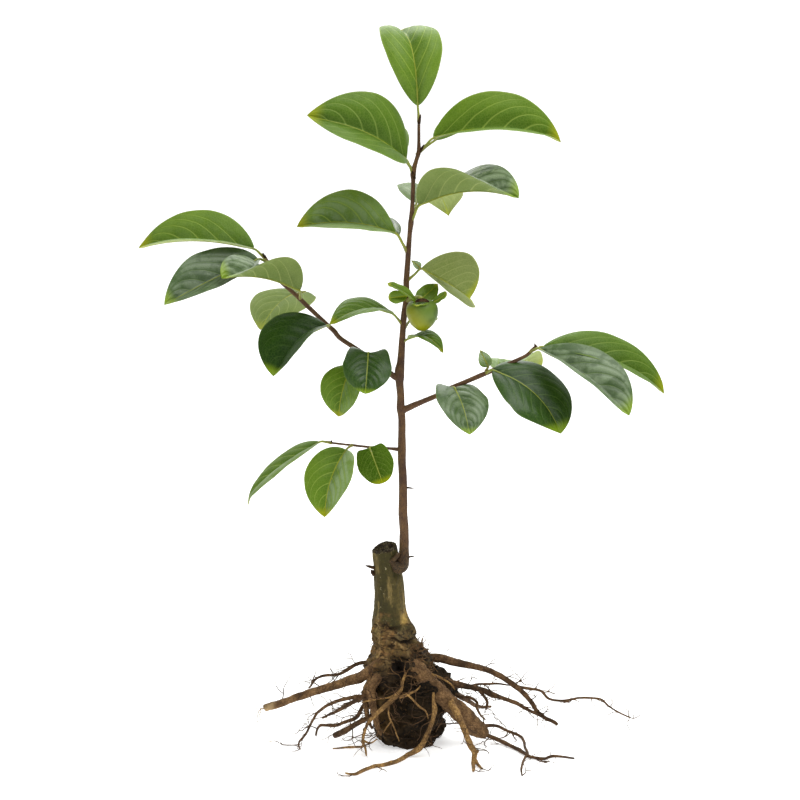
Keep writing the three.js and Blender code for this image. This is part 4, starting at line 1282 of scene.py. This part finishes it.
ROOTS_WASHED = {
    "root_front_middle": [
        [(26, -28, 58, 1.2), (27.5, -35, 55.5, 1.2), (27.5, -41, 50.7, 1.4), (28.3, -46, 42.8, 2.5),
         (26.6, -49, 34.3, 1.9), (22.1, -52, 22.2, 2.1), (17.1, -54, 11.6, 2.5), (12, -54, 6.4, 2.6),
         (4, -55, 2.6, 2.2), (-4, -70, 2.2, 2), (-15, -81, 2, 1.9), (-26, -87, 2, 1.7),
         (-37, -101, 1.7, 1.6), (-43, -109, 1.5, 1.3), (-51, -105, 1.3, 0.8)],
    ],
    "root_front_right": [
        [(36, -24, 46, 3), (42.6, -30, 44.7, 3.6), (47.3, -42, 39.8, 3.4), (50.8, -51, 34.9, 3),
         (54.7, -60, 28.3, 2.7), (57.3, -66, 22.6, 2.5), (60.7, -72, 16.1, 2.9), (64.2, -76, 11.3, 2.5),
         (63, -78, 3, 2.2), (62, -101, 2, 1.2)],
        [(63, -74, 6, 2.2), (67, -84, 2, 1.6), (70, -94, 1.6, 0.9)],
        [(62, -75, 13, 2.2), (67, -78, 12.6, 1.4)],
    ],
    "root_front_left": [
        [(6, -16, 76, 0.9), (4.1, -22, 73.4, 1), (0.4, -34, 66.4, 1.3), (-3.2, -43, 57.8, 2),
         (-11.3, -48, 49.9, 2.3), (-22.1, -52, 41.7, 1.9), (-31.1, -53, 32.7, 1.6),
         (-34.2, -52, 25.9, 1.3), (-36.2, -51, 15.3, 1.3), (-34, -50, 7.5, 1.1), (-33, -55, 1.5, 0.8)],
        [(16, -32, 61, 0.7), (12.6, -38, 58.2, 0.8), (6.3, -43, 56.4, 1.2), (-3.6, -46, 53, 1.6)],
        [(-1.8, -45, 53.7, 1.1), (2.7, -46, 56, 1), (7.2, -48, 53.6, 0.9), (13.8, -50, 46.7, 0.9),
         (20.1, -51, 42.4, 0.8), (22.5, -52, 36.1, 0.6)],
        [(-12.6, -48, 48, 1), (-13.1, -50, 42.1, 0.8), (-11.7, -50, 34.6, 0.8), (-7.7, -49, 25.9, 0.7),
         (-3.2, -46, 12.9, 0.5)],
        [(-10.4, -50, 32.8, 0.6), (-14.4, -49, 26.9, 0.6), (-17.7, -47, 20.7, 0.4)],
        [(-6.8, -44, 56.2, 0.8), (-13.2, -44, 52.5, 0.8), (-24, -42, 51, 0.8), (-37, -38, 47, 0.6)],
        [(18, -18, 69, 1), (22.7, -22, 69.7, 1), (27.2, -27, 69.8, 1), (33.9, -30, 67.9, 0.9),
         (43, -30, 61.8, 0.8), (47.3, -28, 55.6, 0.5)],
        [(-35, -50, 14, 1.2), (-36, -36, 6, 1.1), (-38, -29, 2, 1.1), (-49, -27, 1.6, 1),
         (-64, -29, 1.2, 0.6)],
        [(-35, -50, 14, 1), (-29, -50, 12.2, 0.9), (-23, -50, 16, 0.6)],
    ],
}
ROOTS_EARTHY = {
    "root_right_high": [
        [(8, 2, 80, 4.6), (14, 4, 75, 4.2), (25, 6, 76, 4.1), (34, 6, 76, 4.1), (44, 6, 73, 3.9),
         (64, 8, 68, 3), (77, 8, 64.7, 2.9), (90, 7, 58.8, 2.7), (101, 5, 52, 2.6), (108, 4, 46.4, 2.4),
         (117, 2, 36.5, 2.2), (122, 0, 28.5, 1.9), (127, -2, 23.4, 1.8), (138, -6, 19, 1.7),
         (141, -8, 16.6, 1.5)],
        [(101, 5, 51.5, 1.8), (108, 8, 48, 1.5), (117, 14, 44.5, 1.3), (127, 20, 41, 1.2),
         (135, 24, 32.5, 1.2), (149, 30, 29, 1.1), (166, 38, 29, 1.1), (184, 44, 26.4, 1),
         (192, 44, 20, 0.9), (202, 42, 13.5, 0.8), (212, 40, 9.3, 0.6)],
    ],
    "root_right_middle": [
        [(16, -2, 68, 3.6), (25, -2, 60, 3.4), (38, -2, 56.6, 3.2), (50, -1, 53.5, 3), (64, 1, 50, 2.7),
         (74, 2, 47, 2.5), (81, 2, 43.5, 2.9), (90, 2, 40.3, 2.1), (98, 1, 37.7, 2), (106, 0, 34.2, 1.8),
         (116, -2, 28.5, 1.5), (126, -4, 24, 1)],
        [(63, 2, 50.7, 1.5), (69, 4, 52, 1.2), (77, 4, 52.5, 1.1), (88, 5, 52.2, 0.9),
         (104, 6, 49.6, 0.5)],
        [(70, 0, 47, 1.6), (77, -4, 38.2, 1.3), (76, -6, 30.3, 0.7)],
        [(48, -8, 46, 1.5), (53, -10, 43.7, 1.3), (61, -12, 44.3, 1.4), (68, -14, 40, 1.1),
         (67, -16, 36, 1.2), (71, -18, 28, 0.9), (75, -20, 25, 0.6)],
    ],
    "root_right_tail": [
        [(68, -10, 14, 2.8), (72, -10, 11.5, 2.3), (77, -10, 7.8, 2), (86, -12, 4.6, 1.9),
         (103, -34, 2.2, 1.8), (109, -47, 2, 1.7), (115, -59, 1.8, 1.5), (126, -63, 1.6, 1.4),
         (136, -54, 1.5, 1.3), (154, -60, 1.2, 0.8)],
        [(70, -8, 15, 2), (77, -4, 14.8, 1.7), (86, 2, 12.7, 1.5), (96, 8, 6.5, 1.4), (109, 5, 1.6, 1.3),
         (111, -27, 1.4, 1.2), (113, -48, 1.4, 1.2), (109, -62, 1.3, 1.1), (105, -92, 1.2, 1),
         (105, -112, 1, 0.6)],
    ],
    "root_left_high": [
        [(-12, 2, 76, 2.8), (-23, 4, 72, 2.4), (-35, 10, 70.8, 2), (-44, 14, 67.3, 1.8),
         (-53, 20, 60, 1.6), (-60, 24, 56, 1.5), (-75, 32, 52, 1.3), (-82, 38, 46.4, 1.2),
         (-87, 44, 37, 0.7)],
    ],
    "root_left_middle": [
        [(-16, -16, 52, 2.7), (-25, -20, 49.4, 2.4), (-34, -27, 49.5, 2), (-43, -32, 50, 1.9),
         (-55, -33, 47.5, 1.6), (-66, -31, 43, 1.5), (-77, -27, 34.5, 1.3), (-82, -24, 26, 1.2),
         (-88, -18, 13, 1.1), (-95, -17, 2.4, 1), (-93, -33, 1.4, 0.6)],
    ],
    "root_left_low": [
        [(-12, -18, 34, 2.6), (-21, -20, 31.5, 2.5), (-31, -24, 29, 2.5), (-44, -28, 22.5, 2.5),
         (-53, -24, 15.7, 2.7), (-62, -14, 9, 2.7)],
    ],
    "root_left_near": [
        [(-16, -14, 50, 2.4), (-25, -16, 45.4, 2.2), (-35, -20, 40, 1.9), (-42, -24, 29, 1.9),
         (-53, -22, 23.6, 1.6), (-62, -18, 19, 1.4), (-76, -10, 16.3, 1.2), (-80, 0, 6, 1),
         (-80, 14, 1.6, 0.7)],
    ],
    "root_back_right": [
        [(4, 8, 68, 5.8), (8, 16, 62, 5.6), (13, 50, 50, 5), (20, 84, 33, 4), (26, 112, 15, 3),
         (30, 134, 3, 2)],
    ],
    "root_back_left": [
        [(-6, 8, 66, 5.2), (-10, 16, 60, 5), (-18, 50, 46, 4.2), (-27, 84, 27, 3.2), (-31, 112, 10, 2.4),
         (-35, 138, 2.2, 1.4)],
    ],
    "root_back_outer_right": [
        [(14, 4, 58, 3.6), (24, 10, 51, 3.4), (44, 34, 38, 3), (60, 60, 21, 2.4), (72, 84, 7, 1.8),
         (84, 104, 2, 1.1)],
    ],
    "root_back_outer_left": [
        [(-12, 6, 50, 3.2), (-20, 10, 43, 3), (-42, 27, 30, 2.4), (-60, 48, 15, 1.8), (-76, 66, 2, 1)],
    ],
}


# %% Root finishes
CUT_FROM, CUT_END = -115 * MM, -121 * MM  # where the thick left root was cut off


def root_finish(name, colours, soil_share):
    """Root bark: a pale and a dark brown, dark cracks round the root, and soil that clings in patches."""
    material, tree, shader = finish(name, 0.85, 0.2)
    pale, dark, soil = (tint(*colour) for colour in colours)
    grain, here = attribute(tree, "grain", "Vector"), object_place(tree)
    soft = patches(here, 130.0, 0.38, 0.62)
    dirt = patches(here, 75.0, 0.48, 0.62)
    seams = place_group(tree, cracks, vector=grain, scale=420.0, stretch=1.6, width=0.16)
    cut_end = here.parts()[0].smooth(CUT_FROM, CUT_END)
    skin = coats(
        mixed(soft, pale, dark),
        (seams["Crack"] * 0.55, tint(46, 30, 18)),
        (cut_end * 0.6, tint(184, 158, 116)),
        (dirt * soil_share, soil),
    )
    feed(tree, shader.inputs["Base Color"], skin)
    raised(tree, shader, seams["Height"], 0.5 * MM, 0.9)
    return material


root_washed = root_finish("root_bark_washed", [(172, 134, 80), (124, 94, 56), (84, 62, 38)], 0.45)
root_brown = root_finish("root_bark_brown", [(138, 106, 70), (104, 78, 50), (66, 48, 30)], 0.6)
root_dark = root_finish("root_bark_dark", [(112, 84, 56), (82, 60, 38), (50, 36, 24)], 0.7)
root_mat = root_finish("root_bark_mat", [(64, 48, 28), (40, 29, 17), (26, 19, 12)], 0.8)
print("Root finishes:", root_washed.name, root_brown.name, root_dark.name, root_mat.name)

# %% Root pieces
ROOT_SIZES = {
    "sides": 22,
    "ring_spacing": 1.2 * MM,
    "ridge_share": 0.18,
    "ridge_scale": 330.0,
    "stretch": 2.0,
    "lump_share": 0.24,
    "lump_scale": 110.0,
    "wander": 1.4 * MM,
    "floor": 0.1 * MM,
}
for name, lines, bark in (
    ("roots_thick", ROOTS_THICK, root_brown),
    ("roots_washed", ROOTS_WASHED, root_washed),
    ("roots_earthy", ROOTS_EARTHY, root_dark),
):
    piece = limbs(name, [line for group in lines.values() for line in group], bark=bark, **ROOT_SIZES)
    dressed(piece, "root_bark", *(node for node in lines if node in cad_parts))

# %% [markdown]
# ## The ball of earth
# Dark moist earth sticks to the roots in a lump with a flat underside. It could be a plain solid
# with a rough material, but its outline is crumbly too. So the turned lump of the construction is
# made again with many more faces and pushed about by noise, and crumbs are scattered on it.

# %% Skin of the ball
BALL_PROFILE = [
    (0, 0), (27, 0), (30, 4), (33, 14), (37, 28), (40, 42), (39, 54), (34, 62), (27, 65.7), (0, 65.7),
]
BALL_SIDES, BALL_RINGS = 150, 90
BALL_MIDDLE = (7, 1)
BALL_LUMPS = [(5.0, 0.06), (3.4, 0.15), (1.9, 0.42)]  # how deep and how fine
FULL_TURN = 6.28


def ball_point(place, angle, proud=0.0):
    """A point of the lump's crumbly skin, or proud of it, in millimetres."""
    i = min(int(place), len(BALL_PROFILE) - 2)
    here, onward = np.array(BALL_PROFILE[i]), np.array(BALL_PROFILE[i + 1])
    girth, height = here + (place - i) * (onward - here)
    lump = 1 + 0.05 * math.sin(3 * angle + height * 0.09)
    lump += 0.035 * math.sin(7 * angle - height * 0.16)
    skin = Vector((math.cos(angle) * girth, math.sin(angle) * girth, height))
    push = sum(depth * noise.noise(skin * scale) for depth, scale in BALL_LUMPS)
    turn = (angle + 0.25 + math.pi) % (2 * math.pi) - math.pi
    dent = 12 * math.exp(-((turn / 0.5) ** 2) - ((height - 17) / 13) ** 2)
    reach = girth * lump + (push - dent) * min(1.0, girth / 20) + proud
    rise = max(0.0, height + (push * 0.4 if height > 2 else 0.0))
    return BALL_MIDDLE[0] + math.cos(angle) * reach, BALL_MIDDLE[1] + math.sin(angle) * reach, rise


def earth_mesh():
    """A turned lump with the lobes of the construction and a crumbly skin."""
    vertices = []
    for ring in range(BALL_RINGS + 1):
        place = ring / BALL_RINGS * (len(BALL_PROFILE) - 1)
        for k in range(BALL_SIDES):
            x, y, z = ball_point(place, 2 * math.pi * k / BALL_SIDES)
            vertices.append((x * MM, y * MM, z * MM))
    return skin_mesh("earth_ball", vertices, ring_faces(BALL_RINGS + 1, BALL_SIDES))


# %% Crumbs
crumb_tree, size, result = geometry_tree(
    "Crumbly earth",
    {"Density": 11000.0, "Smallest": 0.5 * MM, "Largest": 3.0 * MM, "Seed": 3, "Earth": None},
)


def crumb_rule(tree, size):
    """The lump, welded and smooth, with crumbs scattered over its skin."""
    body = made(tree, "GeometryNodeMergeByDistance", {"Geometry": size["Geometry"], "Distance": WELD})
    values = {"Mesh": body, "Density": size["Density"], "Seed": size["Seed"]}
    spots = add(tree, "GeometryNodeDistributePointsOnFaces", values)
    grit = made(tree, "GeometryNodeMeshIcoSphere", {"Radius": 1.0, "Subdivisions": 2})
    here = position(tree)
    rough = clouds(here, 1.3, 2.0, output="Color").vector("SUBTRACT", (0.5, 0.5, 0.5)).scaled(1.4)
    grit = made(tree, "GeometryNodeSetPosition", {"Geometry": grit, "Offset": rough})
    chance = add(tree, "FunctionNodeRandomValue", {"Seed": size["Seed"]}, data_type="FLOAT").outputs[1]
    spin = add(tree, "FunctionNodeRandomValue", {"Seed": size["Seed"]}, data_type="FLOAT_VECTOR")
    spin.inputs["Max"].default_value = (FULL_TURN, FULL_TURN, FULL_TURN)
    radius = Field(tree, chance) ** 3.0 * (size["Largest"] - size["Smallest"]) + size["Smallest"]
    values = {
        "Points": spots.outputs["Points"],
        "Instance": grit,
        "Rotation": spin.outputs[0],
        "Scale": joined(radius, radius, radius * 0.75),
    }
    crumbs = made(tree, "GeometryNodeInstanceOnPoints", values)
    whole = made(tree, "GeometryNodeRealizeInstances", {"Geometry": together(tree, crumbs, body)})
    x, y, z = here.parts()
    values = {"Geometry": whole, "Position": joined(x, y, z.math("MAXIMUM", 0.0))}
    whole = made(tree, "GeometryNodeSetPosition", values)
    whole = made(tree, "GeometryNodeSetShadeSmooth", {"Geometry": whole})
    return made(tree, "GeometryNodeSetMaterial", {"Geometry": whole, "Material": size["Earth"]})


feed(crumb_tree, result.inputs[0], crumb_rule(crumb_tree, size))
print("Crumb tree nodes:", len(crumb_tree.nodes))

# %% Earth finish and piece
dark_earth, tree, shader = finish("dark_earth", 0.95, 0.15)
here = object_place(tree)
soft = patches(here, 60.0, 0.4, 0.6)
specks = patches(here, 420.0, 0.54, 0.66)
dry_side = here.parts()[0].smooth(2 * MM, -22 * MM)
skin = coats(
    mixed(soft, tint(20, 15, 9), tint(40, 30, 17)),
    (dry_side * (soft * 0.5 + 0.3), tint(82, 63, 35)),
    (specks * 0.4, tint(90, 68, 40)),
)
feed(tree, shader.inputs["Base Color"], skin)
raised(tree, shader, clouds(here, 420.0, 4.0, 0.7), 1.2 * MM, 0.9)

dressed(grown("earth_ball", earth_mesh(), crumb_tree, earth=dark_earth), "earth", "root_ball")

# %% [markdown]
# ## Root hairs
# Fine roots leave the thick ones everywhere, fork, and wander off over the ground. Short tufts of
# them cover the foot of the stump, and a mat of them holds the earth. Each could be drawn as a
# curve. Here a seeded walk takes small steps away from the stump, a little down, or round the ball
# of earth, and the limb tree gives each walk its thickness.

# %% Walks of root hairs
HAIR_STEP = 4.0  # millimetres, as all lengths in this cell
HAIR_GROUND = 0.7
HAIR_SIDES, HAIR_FRONT, HAIR_BACK = 236, -112, 140
HAIR_EVERY = 10
LOW_ROOT, LOW_LEFT_OUT = 6, 0.7  # below this height, this share of the hairs is left out
TUFTS, TUFT_LOW, TUFT_HIGH = 260, 62, 92
MAT_HAIRS = 110
walk = random.Random(11)


def hair_line(start, heading, steps, girth):
    """A crooked walk that sinks to the ground and thins out to its end."""
    point, heading = Vector(start), Vector(heading).normalized()
    line = [(*point, girth)]
    for step in range(1, steps + 1):
        heading += Vector((walk.gauss(0, 0.42), walk.gauss(0, 0.42), walk.gauss(-0.06, 0.36)))
        heading.normalize()
        point = point + heading * HAIR_STEP
        point.z = max(point.z, HAIR_GROUND)
        point.x = min(max(point.x, -HAIR_SIDES), HAIR_SIDES)
        point.y = min(max(point.y, HAIR_FRONT), HAIR_BACK)
        line.append((*point, girth * (1 - 0.6 * step / steps)))
    return line


def mat_line(steps, girth):
    """A crooked walk on the skin of the ball of earth."""
    place, angle = walk.uniform(1.5, 7.5), walk.uniform(0, 2 * math.pi)
    heading = walk.uniform(0, 2 * math.pi)
    line = []
    for step in range(steps + 1):
        skin = ball_point(place, angle, walk.uniform(-0.2, 1.4))
        line.append((*skin, girth * (1 - 0.5 * step / steps)))
        heading += walk.gauss(0, 0.5)
        place = min(max(place + math.sin(heading) * 0.35, 1.2), 7.9)
        angle += math.cos(heading) * 0.13
    return line


# %% Hairs, tufts and mat
hairs = []
for lines in (*ROOTS_THICK.values(), *ROOTS_WASHED.values(), *ROOTS_EARTHY.values()):
    for line in lines:
        length = sum((Vector(b[:3]) - Vector(a[:3])).length for a, b in zip(line, line[1:]))
        for _ in range(int(length / HAIR_EVERY)):
            share = walk.uniform(0.15, 1.0)
            x, y, z, girth = between(line, share)
            if z < LOW_ROOT and walk.random() < LOW_LEFT_OUT:
                continue
            out = Vector((x - 4, y, 0)).normalized()
            heading = out + Vector((walk.gauss(0, 0.9), walk.gauss(0, 0.9), walk.gauss(-0.2, 0.6)))
            steps, thick = walk.randint(3, 8), walk.uniform(0.35, 0.65)
            hair = hair_line((x, y, max(z, 1)), heading, steps, thick)
            hairs.append(hair)
            if steps > 3:
                fork = heading + Vector((0, 0.4, 0.5))
                hairs.append(hair_line(hair[2][:3], fork, steps - 2, thick * 0.7))
tufts = []
for _ in range(TUFTS):
    angle = walk.uniform(-1.4, 1.0) if walk.random() < 0.6 else walk.uniform(0, 2 * math.pi)
    height = walk.uniform(TUFT_LOW, TUFT_HIGH)
    reach = 30.5 - max(0.0, height - 70) * 0.5
    start = (-3 + reach * math.cos(angle), reach * math.sin(angle), height)
    heading = (math.cos(angle + 1.3) * 0.8, math.sin(angle + 1.3) * 0.8, walk.gauss(-0.2, 0.8))
    tufts.append(hair_line(start, heading, walk.randint(1, 4), walk.uniform(0.3, 0.7)))
mat = [mat_line(walk.randint(4, 12), walk.uniform(0.35, 0.8)) for _ in range(MAT_HAIRS)]
print("Hairs:", len(hairs), "tufts:", len(tufts), "mat:", len(mat))

# %% Root hair pieces
HAIR_SIZES = {
    "sides": 5,
    "ring_spacing": 2.0 * MM,
    "ridge_share": 0.0,
    "lump_share": 0.4,
    "lump_scale": 180.0,
    "wander": 1.0 * MM,
    "floor": 0.1 * MM,
}
for name, lines, bark in (
    ("root_hairs", hairs, root_dark),
    ("root_tufts", tufts, root_brown),
    ("root_mat", mat, root_mat),
):
    dressed(limbs(name, lines, bark=bark, **HAIR_SIZES), "root_bark")

# %% [markdown]
# ## The fruit
# The one fruit is unripe: green, a little yellow below on the left, broad at the shoulders and
# drawn to a short point, with four soft lobes. It is a profile turned about its axis.

# %% Fruit shape
FRUIT_TOP = (17, -18, 411)
FRUIT_PROFILE = [
    (0, 0), (0.12, 0.005), (0.3, 0.03), (0.68, 0.2), (0.92, 0.42),
    (1, 0.62), (0.93, 0.82), (0.66, 0.96), (0.3, 1.0), (0, 0.985),
]
FRUIT_SIDES, FRUIT_RINGS = 48, 40
FRUIT_GIRTH, FRUIT_HEIGHT = 13.9, 28.0


def fruit_mesh():
    """A turned profile with four soft lobes, closed at both poles."""
    vertices = []
    for ring in range(1, FRUIT_RINGS):
        share, height = between([(*point, 0, 0) for point in FRUIT_PROFILE], ring / FRUIT_RINGS)[:2]
        for k in range(FRUIT_SIDES):
            angle = 2 * math.pi * k / FRUIT_SIDES
            reach = max(share, 0.02) * FRUIT_GIRTH * (1 + 0.03 * math.cos(4 * angle + 0.6))
            vertices.append((reach * math.cos(angle), reach * math.sin(angle), (height - 1) * FRUIT_HEIGHT))
    faces = ring_faces(FRUIT_RINGS - 1, FRUIT_SIDES)
    low, high = len(vertices), len(vertices) + 1
    vertices += [(0, 0, -FRUIT_HEIGHT), (0, 0, -0.4)]
    last = (FRUIT_RINGS - 2) * FRUIT_SIDES
    faces += [(low, (k + 1) % FRUIT_SIDES, k) for k in range(FRUIT_SIDES)]
    faces += [(high, last + k, last + (k + 1) % FRUIT_SIDES) for k in range(FRUIT_SIDES)]
    moved = [tuple((a + b) * MM for a, b in zip(vertex, FRUIT_TOP)) for vertex in vertices]
    return skin_mesh("fruit_skin", moved, faces)


# %% Fruit finish and piece
fruit_green, tree, shader = finish("fruit_green", 0.44, 0.32)
here = object_place(tree)
x, y, z = here.parts()
yellow = (z * 0.7 + x * 0.7).smooth(297 * MM, 281 * MM)  # the lower left side
soft = patches(here, 110.0, 0.4, 0.65)
skin = mixed(soft, tint(94, 118, 42), tint(76, 100, 30))
feed(tree, shader.inputs["Base Color"], mixed(yellow * 0.9, skin, tint(134, 136, 2)))
raised(tree, shader, clouds(here, 700.0, 2.0), 0.1 * MM, 0.4)
dressed(placed("fruit_skin", fruit_mesh(), fruit_green), "fruit_green")

# %% Calyx and fruit stalk
calyx_green = leaf_finish(
    "calyx_green",
    [(106, 136, 26), (84, 114, 18), (140, 160, 60), (166, 174, 40)],
    0.42, 0.3,
)
calyx_under = leaf_finish(
    "calyx_under",
    [(118, 144, 40), (98, 126, 30), (150, 166, 66), (168, 176, 56)],
    0.5, 0.3,
)
calyx = grown(
    "calyx",
    blade_points("calyx", CALYX, 0.5),
    blade_tree,
    steps=30,
    columns=17,
    thickness=1.0 * MM,
    vein_depth=0.5 * MM,
    ruffle=2.4 * MM,
    uneven=0.12,
    green_upper=calyx_green,
    under=calyx_under,
)
dressed(calyx, "leaf_green")
FRUIT_STALK = [(3, 0, 407, 2), (9, -9, 411, 1.9), (15, -16, 412, 2.4), (17, -18, 409, 3.2)]
stalk = limbs("fruit_stalk", [FRUIT_STALK], sides=14, ring_spacing=0.8 * MM, bark=stalk_green)
dressed(stalk, "leaf_green")
CALYX_HEART = [
    (11, -28, 410.5, 0.7), (14.5, -29.5, 412, 1.5), (18.5, -29.5, 412.2, 1.7), (23, -28, 410.6, 0.7),
]
heart = limbs("calyx_heart", [CALYX_HEART], sides=14, ring_spacing=0.6 * MM, lump_share=0.3, bark=bud_brown)
dressed(heart, "leaf_green")

# %% [markdown]
# ## Floor, light and camera
# The tree stands on a plain pale floor that turns into a plain pale backdrop. The light is soft and
# comes from above and a little from the right. The camera looks down by ten degrees from 2.6 m with
# a long lens, so near and far leaves keep nearly the same scale.

# %% Floor
FLOOR_HALF, BACK_DISTANCE, BACK_HEIGHT = 6.0, 4.0, 6.0
BEND, BEND_STEPS = 1.5, 12


def floor_mesh():
    """A floor that bends up into a backdrop behind the tree."""
    line = [(-FLOOR_HALF, 0.0), (BACK_DISTANCE - BEND, 0.0)]
    for step in range(1, BEND_STEPS + 1):
        turn = math.pi / 2 * step / BEND_STEPS
        line.append((BACK_DISTANCE - BEND + BEND * math.sin(turn), BEND - BEND * math.cos(turn)))
    line.append((BACK_DISTANCE, BACK_HEIGHT))
    vertices = [(side * FLOOR_HALF, y, z) for y, z in line for side in (-1, 1)]
    faces = [(2 * i, 2 * i + 1, 2 * i + 3, 2 * i + 2) for i in range(len(line) - 1)]
    return skin_mesh("floor", vertices, faces)


pale_floor, tree, shader = finish("pale_floor", 0.9, 0.1)
shader.inputs["Base Color"].default_value = (0.9, 0.9, 0.89, 1)
shader.inputs["Emission Color"].default_value = (1, 1, 1, 1)
shader.inputs["Emission Strength"].default_value = 0.5
floor = placed("floor", floor_mesh(), pale_floor)


# %% Light
def softbox(name, place, aim, width, power):
    """A square lamp of the given width that looks at a point."""
    lamp = bpy.data.lights.new(name, "AREA")
    lamp.size, lamp.energy = width, power
    lamp_object = bpy.data.objects.new(name, lamp)
    lamp_object.location = place
    lamp_object.rotation_euler = (Vector(aim) - Vector(place)).to_track_quat("-Z", "Y").to_euler()
    bpy.context.scene.collection.objects.link(lamp_object)


TREE_MIDDLE = (0, 0, 0.35)
softbox("key_light", (0.8, -0.6, 2.4), TREE_MIDDLE, 1.7, 50)
softbox("fill_light", (-1.6, -2.0, 0.9), TREE_MIDDLE, 1.6, 9)
softbox("back_light", (-0.2, 1.6, 2.2), (0, 0, 0.45), 1.8, 44)
world = bpy.data.worlds.new("plain_world")
world.use_nodes = True
sky = world.node_tree.nodes["Background"]
sky.inputs["Color"].default_value = (1, 1, 1, 1)
sky.inputs["Strength"].default_value = 0.32
bpy.context.scene.world = world
bpy.context.scene.view_settings.view_transform = "Standard"
print("Background:", world.name)

# %% Camera
LENS, SENSOR = 130, 36  # millimetres
LOOK_DOWN = 10  # degrees
camera = bpy.data.objects.new("camera", bpy.data.cameras.new("camera"))
camera.data.lens = LENS
camera.data.sensor_width = SENSOR
camera.location = (-0.0027, -2.5605, 0.7688)
camera.rotation_euler = (math.radians(90 - LOOK_DOWN), 0, 0)
bpy.context.scene.collection.objects.link(camera)
bpy.context.scene.camera = camera
print("Camera looks down by", LOOK_DOWN, "degrees")
